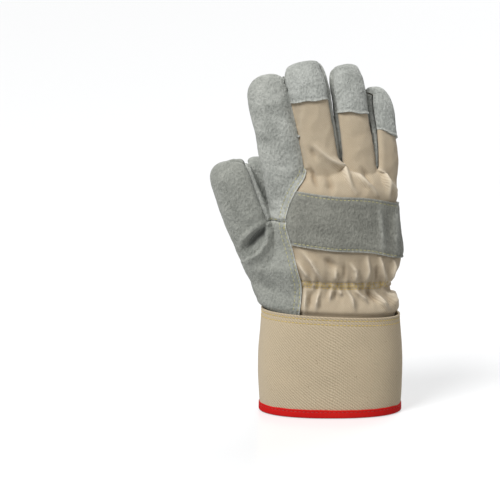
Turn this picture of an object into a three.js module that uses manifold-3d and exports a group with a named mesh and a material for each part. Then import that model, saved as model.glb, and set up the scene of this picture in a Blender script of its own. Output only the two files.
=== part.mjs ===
// A right-hand rigger glove standing on its cuff, in millimetres.
// +Z is up the fingers, -Y is the back of the hand and -X is the thumb side.
// Split leather palm, thumb, index finger, fingertip caps and knuckle strap; cotton drill back;
// stiff canvas cuff with a bound hem. Every panel is a hollow wall, so a hand can go in.
import * as THREE from "three";
import Module from "manifold-3d";
import { mergeVertices } from "three/addons/utils/BufferGeometryUtils.js";

// Walls and clearances
const leatherWall = 1.8;
const cottonWall = 1.3;
const cuffWall = 2.2;
const seamGap = 0.35; // between two panels sewn edge to edge
const lapGap = 0.3; // between a piece and the one it is laid on

// Cuff and its bound hem
const cuffWidth = 105;
const cuffDepth = 60;
const cuffHeight = 76;
const cuffSlope = 0.045; // how much the top edge climbs towards the thumb
const tapeWall = 1.1;
const tapeHeight = 7;

// Hand
const palmLength = 104; // from the cuff's top edge to the foot of the fingers
const palmWidth = 102;
const palmDepth = 50;
const tuckDepth = 13; // how far the hand's panels run down inside the cuff
const elasticUp = 0.215; // the wrist elastic's place, a share of palmLength above the cuff
const gatherDepth = 1.2; // of the cotton's gathers above and below the elastic
const gatherReach = 0.12; // how far up and down they fade out, a share of palmLength

// Fingers and thumb
const fingerRoot = 24; // how far each finger runs down into the hand
const indexLength = 68;
const middleLength = 78.5;
const ringLength = 75;
const littleLength = 57;
const indexWidth = 31;
const middleWidth = 28;
const ringWidth = 25;
const littleWidth = 21.5;
const fingerDepth = 25;
const thumbLength = 108.5;
const thumbWidth = 34;
const thumbDepth = 30;

// Pieces laid on the back and on the cuff
const strapWall = 1.6;
const strapHeight = 39.5;
const strapDrop = 15.3; // from the foot of the fingers down to the strap, at mid-hand
const capWall = 1.6;
const middleCapLength = 28;
const ringCapLength = 36;
const littleCapLength = 35;
const tabWidth = 77;
const tabDrop = 33; // how far the palm's wrist tab hangs down over the cuff
const tabCorner = 15;

const wasm = await Module();
wasm.setup();

const roundness = 2.3; // of the cuff's and the hand's sections, 2 is an ellipse
const fingerRoundness = 2.5;
const cuffSteps = 40;
const handSteps = 32;
const fingerSteps = 16;
const clear = 200; // long enough to pass right through the glove
const smallestDetail = 0.05;

// Heights and reaches worked out from the sizes above
const fingerFoot = cuffHeight + palmLength;
const halfPalm = palmWidth / 2;
const halfDepth = palmDepth / 2;
const cuffTop = { width: 0.98, depth: 0.94 };
const insideCuff = {
  across: (cuffTop.width * cuffWidth) / 2 - cuffWall - lapGap,
  deep: (cuffTop.depth * cuffDepth) / 2 - cuffWall - lapGap,
};

// The hand's sections above the cuff. up is a share of palmLength, left and right are shares of
// half the palm's width, back, front and cup of half its depth. cup bends both edges to the palm.
const handRows = [
  { up: 0.06, left: 1.04, right: 0.92, back: 0.95, front: 0.97, cup: 0.0 },
  { up: 0.15, left: 1.12, right: 0.84, back: 0.85, front: 0.94, cup: 0.02 },
  { up: 0.21, left: 1.13, right: 0.88, back: 0.86, front: 0.95, cup: 0.04 },
  { up: 0.3, left: 1.1, right: 0.98, back: 0.96, front: 1.0, cup: 0.08 },
  { up: 0.42, left: 1.03, right: 1.02, back: 1.0, front: 1.02, cup: 0.14 },
  { up: 0.58, left: 0.95, right: 0.99, back: 1.0, front: 1.0, cup: 0.2 },
  { up: 0.76, left: 0.93, right: 0.95, back: 0.94, front: 0.88, cup: 0.26 },
  { up: 0.9, left: 0.92, right: 0.94, back: 0.82, front: 0.72, cup: 0.3 },
  { up: 0.97, left: 0.88, right: 0.88, back: 0.6, front: 0.5, cup: 0.3 },
  { up: 1.01, left: 0.8, right: 0.8, back: 0.3, front: 0.25, cup: 0.3 },
];

// Where each finger stands and leans. seat and set place its foot, as shares of half the palm's
// width and depth. Lean, bow and curl are shares of its length, towards the thumb and the palm;
// rootIn is how far its root slants inwards, a share of fingerRoot.
const fingerRows = [
  {
    ...{ length: indexLength, width: indexWidth, tip: 1.03, turn: -4, seat: -0.64, set: 0.06 },
    ...{ lean: 0.235, bow: -0.02, curl: 0.16, rootIn: 0.2 },
  },
  {
    ...{ length: middleLength, width: middleWidth, tip: 1.08, turn: 0, seat: -0.1, set: -0.08 },
    ...{ lean: 0.18, bow: -0.04, curl: 0.15, rootIn: 0.05 },
  },
  {
    ...{ length: ringLength, width: ringWidth, tip: 0.92, turn: 12, seat: 0.475, set: 0.1 },
    ...{ lean: 0.175, bow: -0.01, curl: 0.22, rootIn: -0.05 },
  },
  {
    ...{ length: littleLength, width: littleWidth, tip: 0.97, turn: 32, seat: 0.77, set: 0.44 },
    ...{ lean: 0.175, bow: -0.12, curl: 0.32, rootIn: -0.2 },
  },
];

// A finger's sections from its root (0) to its tip (1), as shares of half its width and depth
const fingerShape = [
  { along: 0.0, wide: 0.95, deep: 1.0 },
  { along: 0.24, wide: 1.02, deep: 1.0 },
  { along: 0.45, wide: 1.0, deep: 0.98 },
  { along: 0.65, wide: 0.98, deep: 0.95 },
  { along: 0.8, wide: 1.0, deep: 0.94 },
  { along: 0.88, wide: 0.99, deep: 0.87 },
  { along: 0.94, wide: 0.89, deep: 0.72 },
  { along: 0.98, wide: 0.7, deep: 0.5 },
  { along: 1.0, wide: 0.45, deep: 0.28 },
];
const swellFrom = 0.5; // where along a finger its tip begins to swell or taper
const swellTo = 0.85;

// The line where leather meets cotton on the back: up as a share of palmLength above the cuff,
// across as a share of half the palm's width
const backSeamRows = [
  { up: -0.2, across: -0.48 },
  { up: 0.01, across: -0.47 },
  { up: 0.113, across: -0.44 },
  { up: 0.216, across: -0.437 },
  { up: 0.331, across: -0.494 },
  { up: 0.481, across: -0.576 },
  { up: 0.6, across: -0.645 },
  { up: 0.66, across: -0.663 },
  { up: 0.72, across: -0.645 },
  { up: 0.82, across: -0.582 },
  { up: 0.9, across: -0.5 },
  { up: 0.98, across: -0.39 },
  { up: 1.03, across: -0.36 },
];
// How far the strap falls on its way to the little finger: across is a share of half the palm's
// width, fall a share of the strap's height
const strapRows = [
  { across: -1, fall: -0.12 },
  { across: -0.63, fall: -0.089 },
  { across: 0, fall: 0 },
  { across: 0.59, fall: 0.068 },
  { across: 0.96, fall: 0.21 },
  { across: 1.3, fall: 0.3 },
];
const indexFootUp = 0.66; // where the index panel ends and the thumb panel begins
const thumbWebAcross = -0.93;

// Reads a column of a table of rows at a place between two of them
function column(rows, key, name, at) {
  let next = rows.findIndex((row) => row[key] >= at);
  if (next < 0) next = rows.length - 1;
  if (next === 0) return rows[0][name];
  const low = rows[next - 1];
  const high = rows[next];
  const share = Math.min(1, (at - low[key]) / (high[key] - low[key]));
  return low[name] + share * (high[name] - low[name]);
}

// A closed body through rings of points that run anticlockwise seen from the last ring's side
function loft(rings) {
  const count = rings[0].length;
  const points = rings.flat();
  const faces = [];
  for (let ring = 0; ring + 1 < rings.length; ring++) {
    for (let k = 0; k < count; k++) {
      const a = ring * count + k;
      const b = ring * count + ((k + 1) % count);
      faces.push(a, b, b + count, a, b + count, a + count);
    }
  }
  const last = (rings.length - 1) * count;
  for (let k = 1; k + 1 < count; k++) {
    faces.push(0, k + 1, k);
    faces.push(last, last + k, last + k + 1);
  }
  const geometry = new THREE.BufferGeometry().setFromPoints(points);
  geometry.setIndex(faces);
  return solidOf(geometry);
}

function solidOf(geometry) {
  const bare = geometry.clone();
  bare.deleteAttribute("normal");
  bare.deleteAttribute("uv");
  const merged = mergeVertices(bare, 1e-4);
  return new wasm.Manifold(
    new wasm.Mesh({
      numProp: 3,
      vertProperties: merged.attributes.position.array,
      triVerts: new Uint32Array(merged.index.array),
    }),
  );
}

// The points of a rounded section with the given half sizes, anticlockwise from +X
function sectionPoints(steps, power, across, back, front = back) {
  return Array.from({ length: steps }, (_, k) => {
    const angle = (2 * Math.PI * (k + 0.5)) / steps;
    const c = Math.cos(angle);
    const s = Math.sin(angle);
    return {
      u: across * Math.sign(c) * Math.abs(c) ** (2 / power),
      v: (s < 0 ? back : front) * Math.sign(s) * Math.abs(s) ** (2 / power),
    };
  });
}

// A prism that stands on an outline of [x, z] points and runs through the glove along Y
function throughPrism(outline, from = -clear, to = clear) {
  const shape = new THREE.Shape(outline.map(([x, z]) => new THREE.Vector2(x, z)));
  const geometry = new THREE.ExtrudeGeometry(shape, { depth: to - from, bevelEnabled: false, curveSegments: 6 });
  geometry.rotateX(Math.PI / 2);
  geometry.translate(0, to, 0);
  return solidOf(geometry);
}

function joined(solids) {
  return solids.reduce((whole, next) => whole.add(next));
}

// The largest body of a solid, without the slivers that a cut can leave beside a seam
function mainBody(solid) {
  return solid.decompose().reduce((best, next) => (next.volume() > best.volume() ? next : best));
}

// Cuff

function cuffRing(share, height, grow) {
  const wide = 1 + share * (cuffTop.width - 1);
  const deep = 1 + share * (cuffTop.depth - 1);
  const points = sectionPoints(cuffSteps, roundness, (wide * cuffWidth) / 2 + grow, (deep * cuffDepth) / 2 + grow);
  return points.map(({ u, v }) => new THREE.Vector3(u, v, height - share * cuffSlope * u));
}

// A solid with the cuff's outer form, made larger by grow
function cuffForm(grow, low, high) {
  return loft([low, high].map((height) => cuffRing(height / cuffHeight, height, grow)));
}

function makeCuff() {
  const lowEdge = tapeWall + lapGap;
  const inside = cuffForm(-cuffWall, -cuffHeight, 2 * cuffHeight);
  return cuffForm(0, lowEdge, cuffHeight).subtract(inside);
}

function makeHem() {
  const fold = lapGap + tapeWall;
  const outer = cuffForm(fold, 0, tapeHeight);
  const inner = cuffForm(-cuffWall - fold, -cuffHeight, cuffHeight);
  const slot = cuffForm(lapGap, tapeWall, cuffHeight).subtract(cuffForm(-cuffWall - lapGap, 0, 2 * cuffHeight));
  return outer.subtract(inner).subtract(slot);
}

// Hand

// How far a gather of the cotton stands in or out, at the given point of a section
function gather(share, k, u, v) {
  if (v >= 0 || u < across(-0.4)) return 0;
  const fade = Math.exp(-(((share - elasticUp) / gatherReach) ** 2));
  const tight = 1 - 0.7 * Math.exp(-(((share - elasticUp) / (gatherReach / 4)) ** 2));
  return gatherDepth * fade * tight * (k % 2 ? 1 : -1);
}

// The hand's form, grown outwards by grow; a wall's inside is the same form grown by less than 0
function handForm(grow, openBelow = false) {
  const low = openBelow ? -tuckDepth - 1 : -tuckDepth;
  const tucked = [low, 0].map((drop) => {
    const points = sectionPoints(handSteps, roundness, insideCuff.across + grow, insideCuff.deep + grow);
    return points.map(({ u, v }) => new THREE.Vector3(u, v, cuffHeight + drop - cuffSlope * u));
  });
  const above = handRows.map((row) => {
    const reach = ((row.left + row.right) / 2) * halfPalm;
    const middle = ((row.right - row.left) / 2) * halfPalm;
    const back = Math.max(row.back * halfDepth + grow, 1);
    const front = Math.max(row.front * halfDepth + grow, 1);
    const height = cuffHeight + row.up * palmLength + (row.up > 0.9 ? grow : 0);
    const level = cuffSlope * Math.max(0, 1 - row.up / 0.3);
    return sectionPoints(handSteps, roundness, reach + grow, back, front).map(({ u, v }, k) => {
      const cup = row.cup * halfDepth * (u / reach) ** 2;
      return new THREE.Vector3(middle + u, v + cup + gather(row.up, k, u, v), height - level * u);
    });
  });
  return loft([...tucked, ...above]);
}

// Fingers and thumb

// A finger's centre line, from its root inside the hand to its tip
function fingerPath(row) {
  const foot = new THREE.Vector3(row.seat * halfPalm, row.set * halfDepth, fingerFoot);
  const tip = new THREE.Vector3(-row.lean, row.curl, 1).multiplyScalar(row.length).add(foot);
  const root = new THREE.Vector3(row.rootIn, -0.4 * row.set, -1).multiplyScalar(fingerRoot).add(foot);
  const bend = root.clone().lerp(tip, 0.5);
  bend.x -= row.bow * row.length;
  bend.y -= 0.35 * row.curl * row.length;
  return new THREE.QuadraticBezierCurve3(root, bend, tip);
}

const thumbRow = { length: thumbLength, width: thumbWidth, depth: thumbDepth, tip: 0.97, turn: -6 };

function thumbPath() {
  const root = new THREE.Vector3(-0.73 * halfPalm, 0.04 * halfDepth, cuffHeight + 0.135 * palmLength);
  const bend = new THREE.Vector3(-0.31, 0.0, 0.608).multiplyScalar(thumbLength).add(root);
  const tip = new THREE.Vector3(-0.369, 0.06, 0.898).multiplyScalar(thumbLength).add(root);
  return new THREE.QuadraticBezierCurve3(root, bend, tip);
}

// Carries sections along a path, with the second section axis towards the palm
function sweep(path, turn, rows, section) {
  const tilt = THREE.MathUtils.degToRad(turn);
  const rings = rows.map((row) => {
    const centre = path.getPoint(row.at);
    const axis = path.getTangent(row.at).normalize();
    const side = new THREE.Vector3(0, 1, 0).cross(axis).normalize();
    side.applyAxisAngle(axis, tilt);
    const deep = axis.clone().cross(side);
    return section(row).map(({ u, v }) => {
      return centre.clone().addScaledVector(side, u).addScaledVector(deep, v).addScaledVector(axis, row.beyond ?? 0);
    });
  });
  return loft(rings);
}

function fingerHalf(row, along, wide) {
  const swell = 1 + (row.tip - 1) * THREE.MathUtils.smoothstep(along, swellFrom, swellTo);
  return (wide * swell * row.width) / 2;
}

function fingerForm(path, row, grow) {
  const depth = row.depth ?? fingerDepth;
  const length = path.getLength();
  const reach = (length + grow) / length;
  const rows = fingerShape.map(({ along, wide, deep }) => {
    const end = along * Math.min(reach, 1);
    const side = Math.max(fingerHalf(row, along, wide) + grow, 1);
    const deepness = Math.max((deep * depth) / 2 + grow, 1);
    const beyond = grow > 0 ? grow * Math.max(0, (along - 0.9) / 0.1) : 0;
    return { at: end, beyond, side, deepness };
  });
  return sweep(path, row.turn, rows, (at) => sectionPoints(fingerSteps, fingerRoundness, at.side, at.deepness));
}

// The space behind a finger's two side seams, which its back panel takes up
function fingerBack(path, row, grow) {
  const depth = row.depth ?? fingerDepth;
  const seamShare = 0.3;
  const rows = [0.12, 0.5, 0.8, 0.9, 1].map((at) => {
    const seam = -seamShare * (at < 1 ? 1 : 0.2) * (depth / 2) + grow;
    const wide = fingerHalf(row, at, column(fingerShape, "along", "wide", Math.min(at, 0.9)));
    const side = wide + lapGap + capWall + grow;
    return { at, seam, side, beyond: at < 0.2 ? -grow : at < 1 ? 0 : 12 };
  });
  return sweep(path, row.turn, rows, ({ seam, side }) => [
    { u: -side, v: -depth },
    { u: side, v: -depth },
    { u: side, v: seam },
    { u: -side, v: seam },
  ]);
}

const fingers = fingerRows.map((row) => ({ ...row, path: fingerPath(row) }));
const thumb = { ...thumbRow, path: thumbPath() };

// The whole hand, fingers and thumb in one solid, grown outwards by grow
function wholeForm(grow, openBelow = false) {
  const digits = [...fingers, thumb].map((digit) => fingerForm(digit.path, digit, grow));
  return joined([handForm(grow, openBelow), ...digits]);
}

// Where one panel ends and the next begins

const up = (share) => cuffHeight + share * palmLength;
const across = (share) => share * halfPalm;
const lowEdge = up(0) - 2 * tuckDepth;
const topEdge = fingerFoot + middleLength + 60;

// The back of the hand and of the thumb: everything behind the side seams, below the fingers
function handBack(grow) {
  const left = -clear;
  const right = clear;
  const tilt = 0.08; // the seam comes round to the palm beyond the little finger
  const outline = [
    [left, -clear],
    [right, -clear],
    [right, tilt * (right + halfPalm) + grow],
    [left, tilt * (left + halfPalm) + grow],
  ];
  const shape = new THREE.Shape(outline.map(([x, y]) => new THREE.Vector2(x, y)));
  const height = up(1.02) + grow - lowEdge;
  const geometry = new THREE.ExtrudeGeometry(shape, { depth: height, bevelEnabled: false });
  geometry.translate(0, 0, lowEdge);
  return solidOf(geometry);
}

// The middle line of the gap beside the index finger
function besideIndex(z) {
  const rise = (z - fingerFoot) / indexLength;
  const index = fingers[0];
  const middle = fingers[1];
  const between = across((index.seat + middle.seat) / 2) + (indexWidth - middleWidth) / 4;
  return between - rise * ((index.lean + middle.lean) / 2) * indexLength;
}

// The cotton's side of the back seam, seen from the back
function cottonSide(grow) {
  const edge = backSeamRows.map((row) => [across(row.across) - grow, up(row.up)]);
  const gap = [1.08, 1.4, 2].map((share) => [besideIndex(up(share)) - grow, up(share)]);
  return throughPrism([...edge, ...gap, [clear, up(2)], [clear, up(-0.2)]]);
}

// The thumb's side of the line from the web between thumb and index finger
function thumbSide(grow) {
  const web = [across(thumbWebAcross), up(indexFootUp)];
  const lean = 0.3;
  const top = topEdge;
  return throughPrism([
    [-clear, lowEdge],
    [clear, lowEdge],
    [clear, web[1] + grow],
    [web[0] + grow, web[1] + grow],
    [web[0] - lean * (top - web[1]) + grow, top],
    [-clear, top],
  ]);
}

// The thumb's own front, seen from the palm: it is set into the palm along a round line
function thumbFrontSide(grow) {
  const web = [across(thumbWebAcross), up(indexFootUp)];
  const lean = 0.3;
  return throughPrism([
    [-clear, up(0.12) - grow],
    [across(-0.98), up(0.12) - grow],
    [across(-0.8) + grow, up(0.24) - grow],
    [across(-0.72) + grow, up(0.38)],
    [across(-0.76) + grow, up(0.52)],
    [web[0] + grow, web[1] + grow],
    [web[0] - lean * (topEdge - web[1]) + grow, topEdge],
    [-clear, topEdge],
  ]);
}

// The fronts of the middle and ring fingers, one piece above the seam across the palm
function middleRingSide(grow) {
  const seam = up(0.93);
  const ring = fingers[2];
  const little = fingers[3];
  const right = (z) => {
    const rise = (z - fingerFoot) / ringLength;
    const between = across((ring.seat + little.seat) / 2) + (ringWidth - littleWidth) / 4;
    return between - rise * ((ring.lean + little.lean) / 2) * ringLength + grow;
  };
  return throughPrism([
    [besideIndex(seam) - grow, seam - grow],
    [right(seam), seam - grow],
    [right(topEdge), topEdge],
    [besideIndex(topEdge) - grow, topEdge],
  ]);
}

// Panels

const half = seamGap / 2;
const outside = wholeForm(0);
const leatherShell = outside.subtract(wholeForm(-leatherWall, true));
const cottonShell = outside.subtract(wholeForm(-cottonWall, true));

function behindSeams(grow) {
  return joined([handBack(grow), ...fingers.map((finger) => fingerBack(finger.path, finger, grow))]);
}

// The thumb's seams run down its sides, level with the hand's own side seam
function behindThumb(grow) {
  const tall = handBack(grow).translate([0, 0, 0.5 * palmLength]);
  return joined([handBack(grow), tall.intersect(thumbSide(-half))]);
}

const backs = behindSeams(-half).add(behindThumb(-half));
const frontCut = behindSeams(half).add(behindThumb(half));

const cottonBack = cottonShell.intersect(behindSeams(-half)).intersect(cottonSide(-half));
const leatherBacks = leatherShell.intersect(backs).subtract(cottonSide(half));
const thumbBack = leatherBacks.intersect(thumbSide(-half));
const indexBack = leatherBacks.subtract(thumbSide(half));

const fronts = leatherShell.subtract(frontCut);
const middleRingFront = fronts.intersect(middleRingSide(-half));
const thumbFront = fronts.intersect(thumbFrontSide(-half)).subtract(middleRingSide(half));
const palmShell = fronts.subtract(middleRingSide(half)).subtract(thumbFrontSide(half));

// Wrist tab: the palm's leather carried on outside the cuff

function tabOutline() {
  const right = tabWidth / 2 - 0.07 * halfPalm;
  const left = right - tabWidth;
  const top = cuffHeight + 8;
  const drop = (x) => cuffHeight - tabDrop - 2 * cuffSlope * (x - right);
  const low = new THREE.Shape();
  low.moveTo(left, top - cuffSlope * left);
  low.lineTo(left, drop(left) + tabCorner);
  low.quadraticCurveTo(left, drop(left), left + tabCorner, drop(left + tabCorner));
  low.lineTo(right - tabCorner, drop(right - tabCorner));
  low.quadraticCurveTo(right, drop(right), right, drop(right) + tabCorner);
  low.lineTo(right, top - cuffSlope * right);
  return low.getPoints(4).map((point) => [point.x, point.y]);
}

function makeTab() {
  const outer = cuffForm(lapGap + leatherWall, lowEdge - tabDrop, 1.4 * cuffHeight);
  const seat = cuffForm(lapGap, 0, cuffHeight + lapGap);
  const window = throughPrism(tabOutline(), 0, clear);
  return outer.intersect(window).subtract(seat).subtract(wholeForm(-leatherWall, true));
}

const palm = palmShell.add(makeTab());

// Knuckle strap: leather laid over the cotton back, from the index panel round to the side seam

function strapBand() {
  const top = strapRows.map(({ across: at, fall }) => [across(at), fingerFoot - strapDrop - fall * strapHeight]);
  const bottom = top.map(([x, z]) => [x, z - strapHeight]).reverse();
  return throughPrism([...bottom, ...top]);
}

const strapOver = wholeForm(lapGap + strapWall).subtract(wholeForm(lapGap));
const strap = strapOver.intersect(handBack(-half)).intersect(strapBand()).intersect(cottonSide(-half - strapWall));

// Fingertip caps: leather over the end of the cotton

function makeCap(finger, length) {
  const whole = finger.path.getLength();
  const start = 1 - length / whole;
  const others = fingers.filter((other) => other !== finger);
  const beside = joined(others.map((other) => fingerForm(other.path, other, 1.5 * lapGap + capWall)));
  const over = fingerForm(finger.path, finger, lapGap + capWall).subtract(wholeForm(lapGap)).subtract(beside);
  const end = (at) => ({ at, beyond: at < 1 ? 0 : 12 });
  const span = sweep(finger.path, finger.turn, [start, (1 + start) / 2, 1].map(end), () => [
    { u: -finger.width, v: -2 * fingerDepth },
    { u: finger.width, v: -2 * fingerDepth },
    { u: finger.width, v: fingerDepth },
    { u: -finger.width, v: fingerDepth },
  ]);
  return over.intersect(span).intersect(fingerBack(finger.path, finger, -half));
}

// Assembly

const looks = {
  leather: { color: 0x9a9d97, roughness: 0.95, metalness: 0 },
  cotton: { color: 0xb9a888, roughness: 0.9, metalness: 0 },
  canvas: { color: 0xc4b596, roughness: 0.8, metalness: 0 },
  tape: { color: 0xc81410, roughness: 0.6, metalness: 0 },
};

function meshOf(name, solid, look) {
  const body = mainBody(mainBody(solid).simplify(smallestDetail));
  const { numProp, numVert, vertProperties, triVerts } = body.getMesh();
  const places = new Float32Array(numVert * 3);
  for (let k = 0; k < numVert; k++) {
    places.set(vertProperties.subarray(k * numProp, k * numProp + 3), k * 3);
  }
  const geometry = new THREE.BufferGeometry();
  geometry.setAttribute("position", new THREE.BufferAttribute(places, 3));
  geometry.setIndex(new THREE.BufferAttribute(triVerts, 1));
  geometry.computeVertexNormals();
  const mesh = new THREE.Mesh(geometry, new THREE.MeshStandardMaterial(looks[look]));
  mesh.name = name;
  return mesh;
}

const glove = new THREE.Group();
glove.add(
  meshOf("cuff", makeCuff(), "canvas"),
  meshOf("hem_tape", makeHem(), "tape"),
  meshOf("palm", palm, "leather"),
  meshOf("middle_ring_front", middleRingFront, "leather"),
  meshOf("thumb_front", thumbFront, "leather"),
  meshOf("thumb_back", thumbBack, "leather"),
  meshOf("index_back", indexBack, "leather"),
  meshOf("cotton_back", cottonBack, "cotton"),
  meshOf("knuckle_strap", strap, "leather"),
  meshOf("middle_tip_cap", makeCap(fingers[1], middleCapLength), "leather"),
  meshOf("ring_tip_cap", makeCap(fingers[2], ringCapLength), "leather"),
  meshOf("little_tip_cap", makeCap(fingers[3], littleCapLength), "leather"),
);

// The glove's frame has its origin on the floor, under the middle of its outline
const box = new THREE.Box3().setFromObject(glove);
const centre = box.getCenter(new THREE.Vector3());
glove.position.set(-centre.x, -centre.y, -box.min.z);

export default glove;
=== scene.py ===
import math

import bmesh
import bpy
import numpy as np
from mathutils import Matrix, Vector, noise
from mathutils.bvhtree import BVHTree
from mathutils.kdtree import KDTree


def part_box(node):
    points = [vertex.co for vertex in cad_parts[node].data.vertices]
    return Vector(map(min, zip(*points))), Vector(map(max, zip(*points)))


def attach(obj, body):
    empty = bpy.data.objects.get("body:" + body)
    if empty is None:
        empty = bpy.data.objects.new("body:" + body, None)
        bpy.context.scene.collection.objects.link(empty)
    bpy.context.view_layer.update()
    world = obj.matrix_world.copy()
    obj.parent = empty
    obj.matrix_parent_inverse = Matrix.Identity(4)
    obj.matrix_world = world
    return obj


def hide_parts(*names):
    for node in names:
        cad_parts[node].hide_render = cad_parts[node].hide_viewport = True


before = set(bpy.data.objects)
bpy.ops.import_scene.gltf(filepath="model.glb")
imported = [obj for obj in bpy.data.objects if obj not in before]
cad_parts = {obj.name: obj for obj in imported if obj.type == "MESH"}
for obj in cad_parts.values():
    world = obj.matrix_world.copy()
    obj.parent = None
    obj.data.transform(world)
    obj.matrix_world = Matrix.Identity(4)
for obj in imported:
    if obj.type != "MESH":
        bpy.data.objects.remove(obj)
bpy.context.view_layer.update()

# Safety cuff: one strip of stiff starched cotton canvas, bent round into an oval tube that stands
# by itself. Its ends lap over each other on the palm side, and two rows of stitches close its top.
cuff_width, cuff_depth, cuff_height = 105.0, 60.0, 76.0
cuff_wall, canvas_thick = 2.2, 1.6  # the wall that the tape is folded round, and the canvas itself
cuff_slope = 0.045  # how much the top edge climbs towards the thumb
cuff_round = 262.0  # length of the strip, once round
strip_low = 1.5  # the strip's lower edge stands this far above the ground, inside the tape
oval = 2.3  # how square the oval sections of the cuff and the palm are; 2 is an ellipse
top_rows = (2.2, 5.6)  # rows of stitches, measured down from the top edge
canvas_colour = (0.585, 0.49, 0.345)
canvas_dark = (0.33, 0.26, 0.168)
canvas_warm = (0.5, 0.4, 0.27)
painted_crest_colour = (0.74, 0.66, 0.53)  # colour of the painted highlight on fold crests
seed_colour = (0.16, 0.1, 0.05)  # flecks of seed left in the cotton
side_seam_turn = 0.095  # where the strip's ends meet, as a share of the way round from +X

low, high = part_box("hem_tape")
cuff_middle = np.array(((low.x + high.x) / 2, (low.y + high.y) / 2, 0.0))


def read(mesh, name="position"):
    """A value that a mesh keeps at each of its points"""
    layer = mesh.attributes[name]
    wide = 3 if layer.data_type == "FLOAT_VECTOR" else 1
    values = np.empty(len(mesh.vertices) * wide, np.float32)
    layer.data.foreach_get("vector" if wide == 3 else "value", values)
    return values.reshape(-1, 3).astype(float) if wide == 3 else values.astype(float)


def write(mesh, name, values):
    """Stores a value at each point of a mesh; the value named position moves the points"""
    if name not in mesh.attributes:
        mesh.attributes.new(name, "FLOAT_VECTOR" if values.ndim == 2 else "FLOAT", "POINT")
    data = mesh.attributes[name].data
    data.foreach_set("vector" if values.ndim == 2 else "value", values.astype(np.float32).ravel())
    mesh.update()


def sheet(columns, rows, place):
    """A grid whose points go where place(across, up) says; across and up run from 0 to 1"""
    grid = bmesh.new()
    bmesh.ops.create_grid(grid, x_segments=columns, y_segments=rows, size=1)
    mesh = bpy.data.meshes.new("sheet")
    grid.to_mesh(mesh)
    grid.free()
    flat = read(mesh) / 2 + 0.5
    write(mesh, "position", place(flat[:, 0], flat[:, 1]))
    return mesh


def built(mesh, *steps):
    """The mesh after some steps of modelling, each given as a modifier's kind and its settings"""
    holder = bpy.data.objects.new("holder", mesh)
    bpy.context.collection.objects.link(holder)
    for kind, settings in steps:
        step = holder.modifiers.new(kind, kind)
        for key, value in settings.items():
            setattr(step, key, value)
    graph = bpy.context.evaluated_depsgraph_get()
    result = bpy.data.meshes.new_from_object(holder.evaluated_get(graph))
    bpy.data.objects.remove(holder)
    return result


def rounded_edges(width, angle):
    """One of those steps: rounds the edges that are sharper than an angle in degrees"""
    limit = {"limit_method": "ANGLE", "angle_limit": math.radians(angle)}
    return "BEVEL", {"width": width, "segments": 2, **limit}


def place_piece(name, mesh, material, crisp=48):
    """Turns millimetres from the middle of the cuff into the part's own frame, as a new piece"""
    write(mesh, "position", read(mesh) * 0.001 + cuff_middle)
    mesh.shade_smooth()
    mesh.set_sharp_from_angle(angle=math.radians(crisp))
    mesh.materials.clear()
    mesh.materials.append(material)
    mesh.name = name
    piece = bpy.data.objects.new(name, mesh)
    bpy.context.collection.objects.link(piece)
    return piece


def lumps(points, size, seed):
    """Soft lumps about size millimetres apart, from -1 to 1"""
    shift = Vector((17.3 * seed, 5.1 * seed, 0))
    return np.array([noise.noise(Vector(point) / size + shift) for point in points])


def step(low_end, high_end, values):
    """0 below the low end, 1 above the high end, and smooth between them"""
    share = np.clip((values - low_end) / (high_end - low_end), 0, 1)
    return share * share * (3 - 2 * share)


def bell(values, width):
    """1 where the values are 0, fading smoothly away on both sides of it"""
    return np.exp(-((values / width) ** 2))


def section(turn, power, across, back, front):
    """Points of a rounded section, anticlockwise from +X"""
    c, s = np.cos(2 * np.pi * turn), np.sin(2 * np.pi * turn)
    u = across * np.sign(c) * np.abs(c) ** (2 / power)
    return u, np.where(s < 0, back, front) * np.sign(s) * np.abs(s) ** (2 / power)


def cuff_half(height, grow):
    """Half the width and half the depth of the cuff's form at a height, grown outwards by grow"""
    share = height / cuff_height
    return (1 - 0.02 * share) * cuff_width / 2 + grow, (1 - 0.06 * share) * cuff_depth / 2 + grow


def cuff_place(turn, height, grow):
    """Points on the cuff's form"""
    across, deep = cuff_half(height, grow)
    u, v = section(turn, oval, across, deep, deep)
    return np.column_stack([u, v, height - height / cuff_height * cuff_slope * u])


def keep_cloth(mesh, columns, rows, length, height):
    """Keeps each point's place on the flat cloth that the piece is made from, for its weave"""
    def laid_flat(across, rise):
        return np.column_stack([across * length, 0 * rise, rise * height])

    write(mesh, "cloth", read(sheet(columns, rows, laid_flat)) * 0.001)


def start_material(name):
    """A new material, with its nodes and its shader"""
    material = bpy.data.materials.new(name)
    material.use_nodes = True
    return material, material.node_tree, material.node_tree.nodes["Principled BSDF"]


def feed(tree, node, inputs):
    """Sets a node's inputs to plain values, or links them to the outputs given"""
    for socket, value in inputs.items():
        if isinstance(value, bpy.types.NodeSocket):
            tree.links.new(value, node.inputs[socket])
        else:
            node.inputs[socket].default_value = value
    return node


def add(tree, kind, inputs=None, **settings):
    """A new shader node with its settings and inputs"""
    made = tree.nodes.new("ShaderNode" + kind)
    for key, value in settings.items():
        setattr(made, key, value)
    return feed(tree, made, inputs or {})


def kept(tree, name, output="Fac"):
    """A value that the piece's mesh keeps at its points"""
    return add(tree, "Attribute", attribute_name=name).outputs[output]


def reckon(tree, operation, *values):
    return add(tree, "Math", dict(enumerate(values)), operation=operation).outputs[0]


def blend(tree, share, first, second):
    """A colour between two; a plain colour is given as three numbers"""
    mixed = {0: share}
    for socket, colour in enumerate((first, second), 1):
        mixed[socket] = (*colour, 1) if isinstance(colour, (tuple, list)) else colour
    return add(tree, "MixRGB", mixed).outputs[0]


def remap(tree, value, low_end, high_end, top=1.0):
    """0 below the low end, rising evenly to top at the high end"""
    return add(tree, "MapRange", {0: value, 1: low_end, 2: high_end, 3: 0.0, 4: top}).outputs[0]


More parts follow.
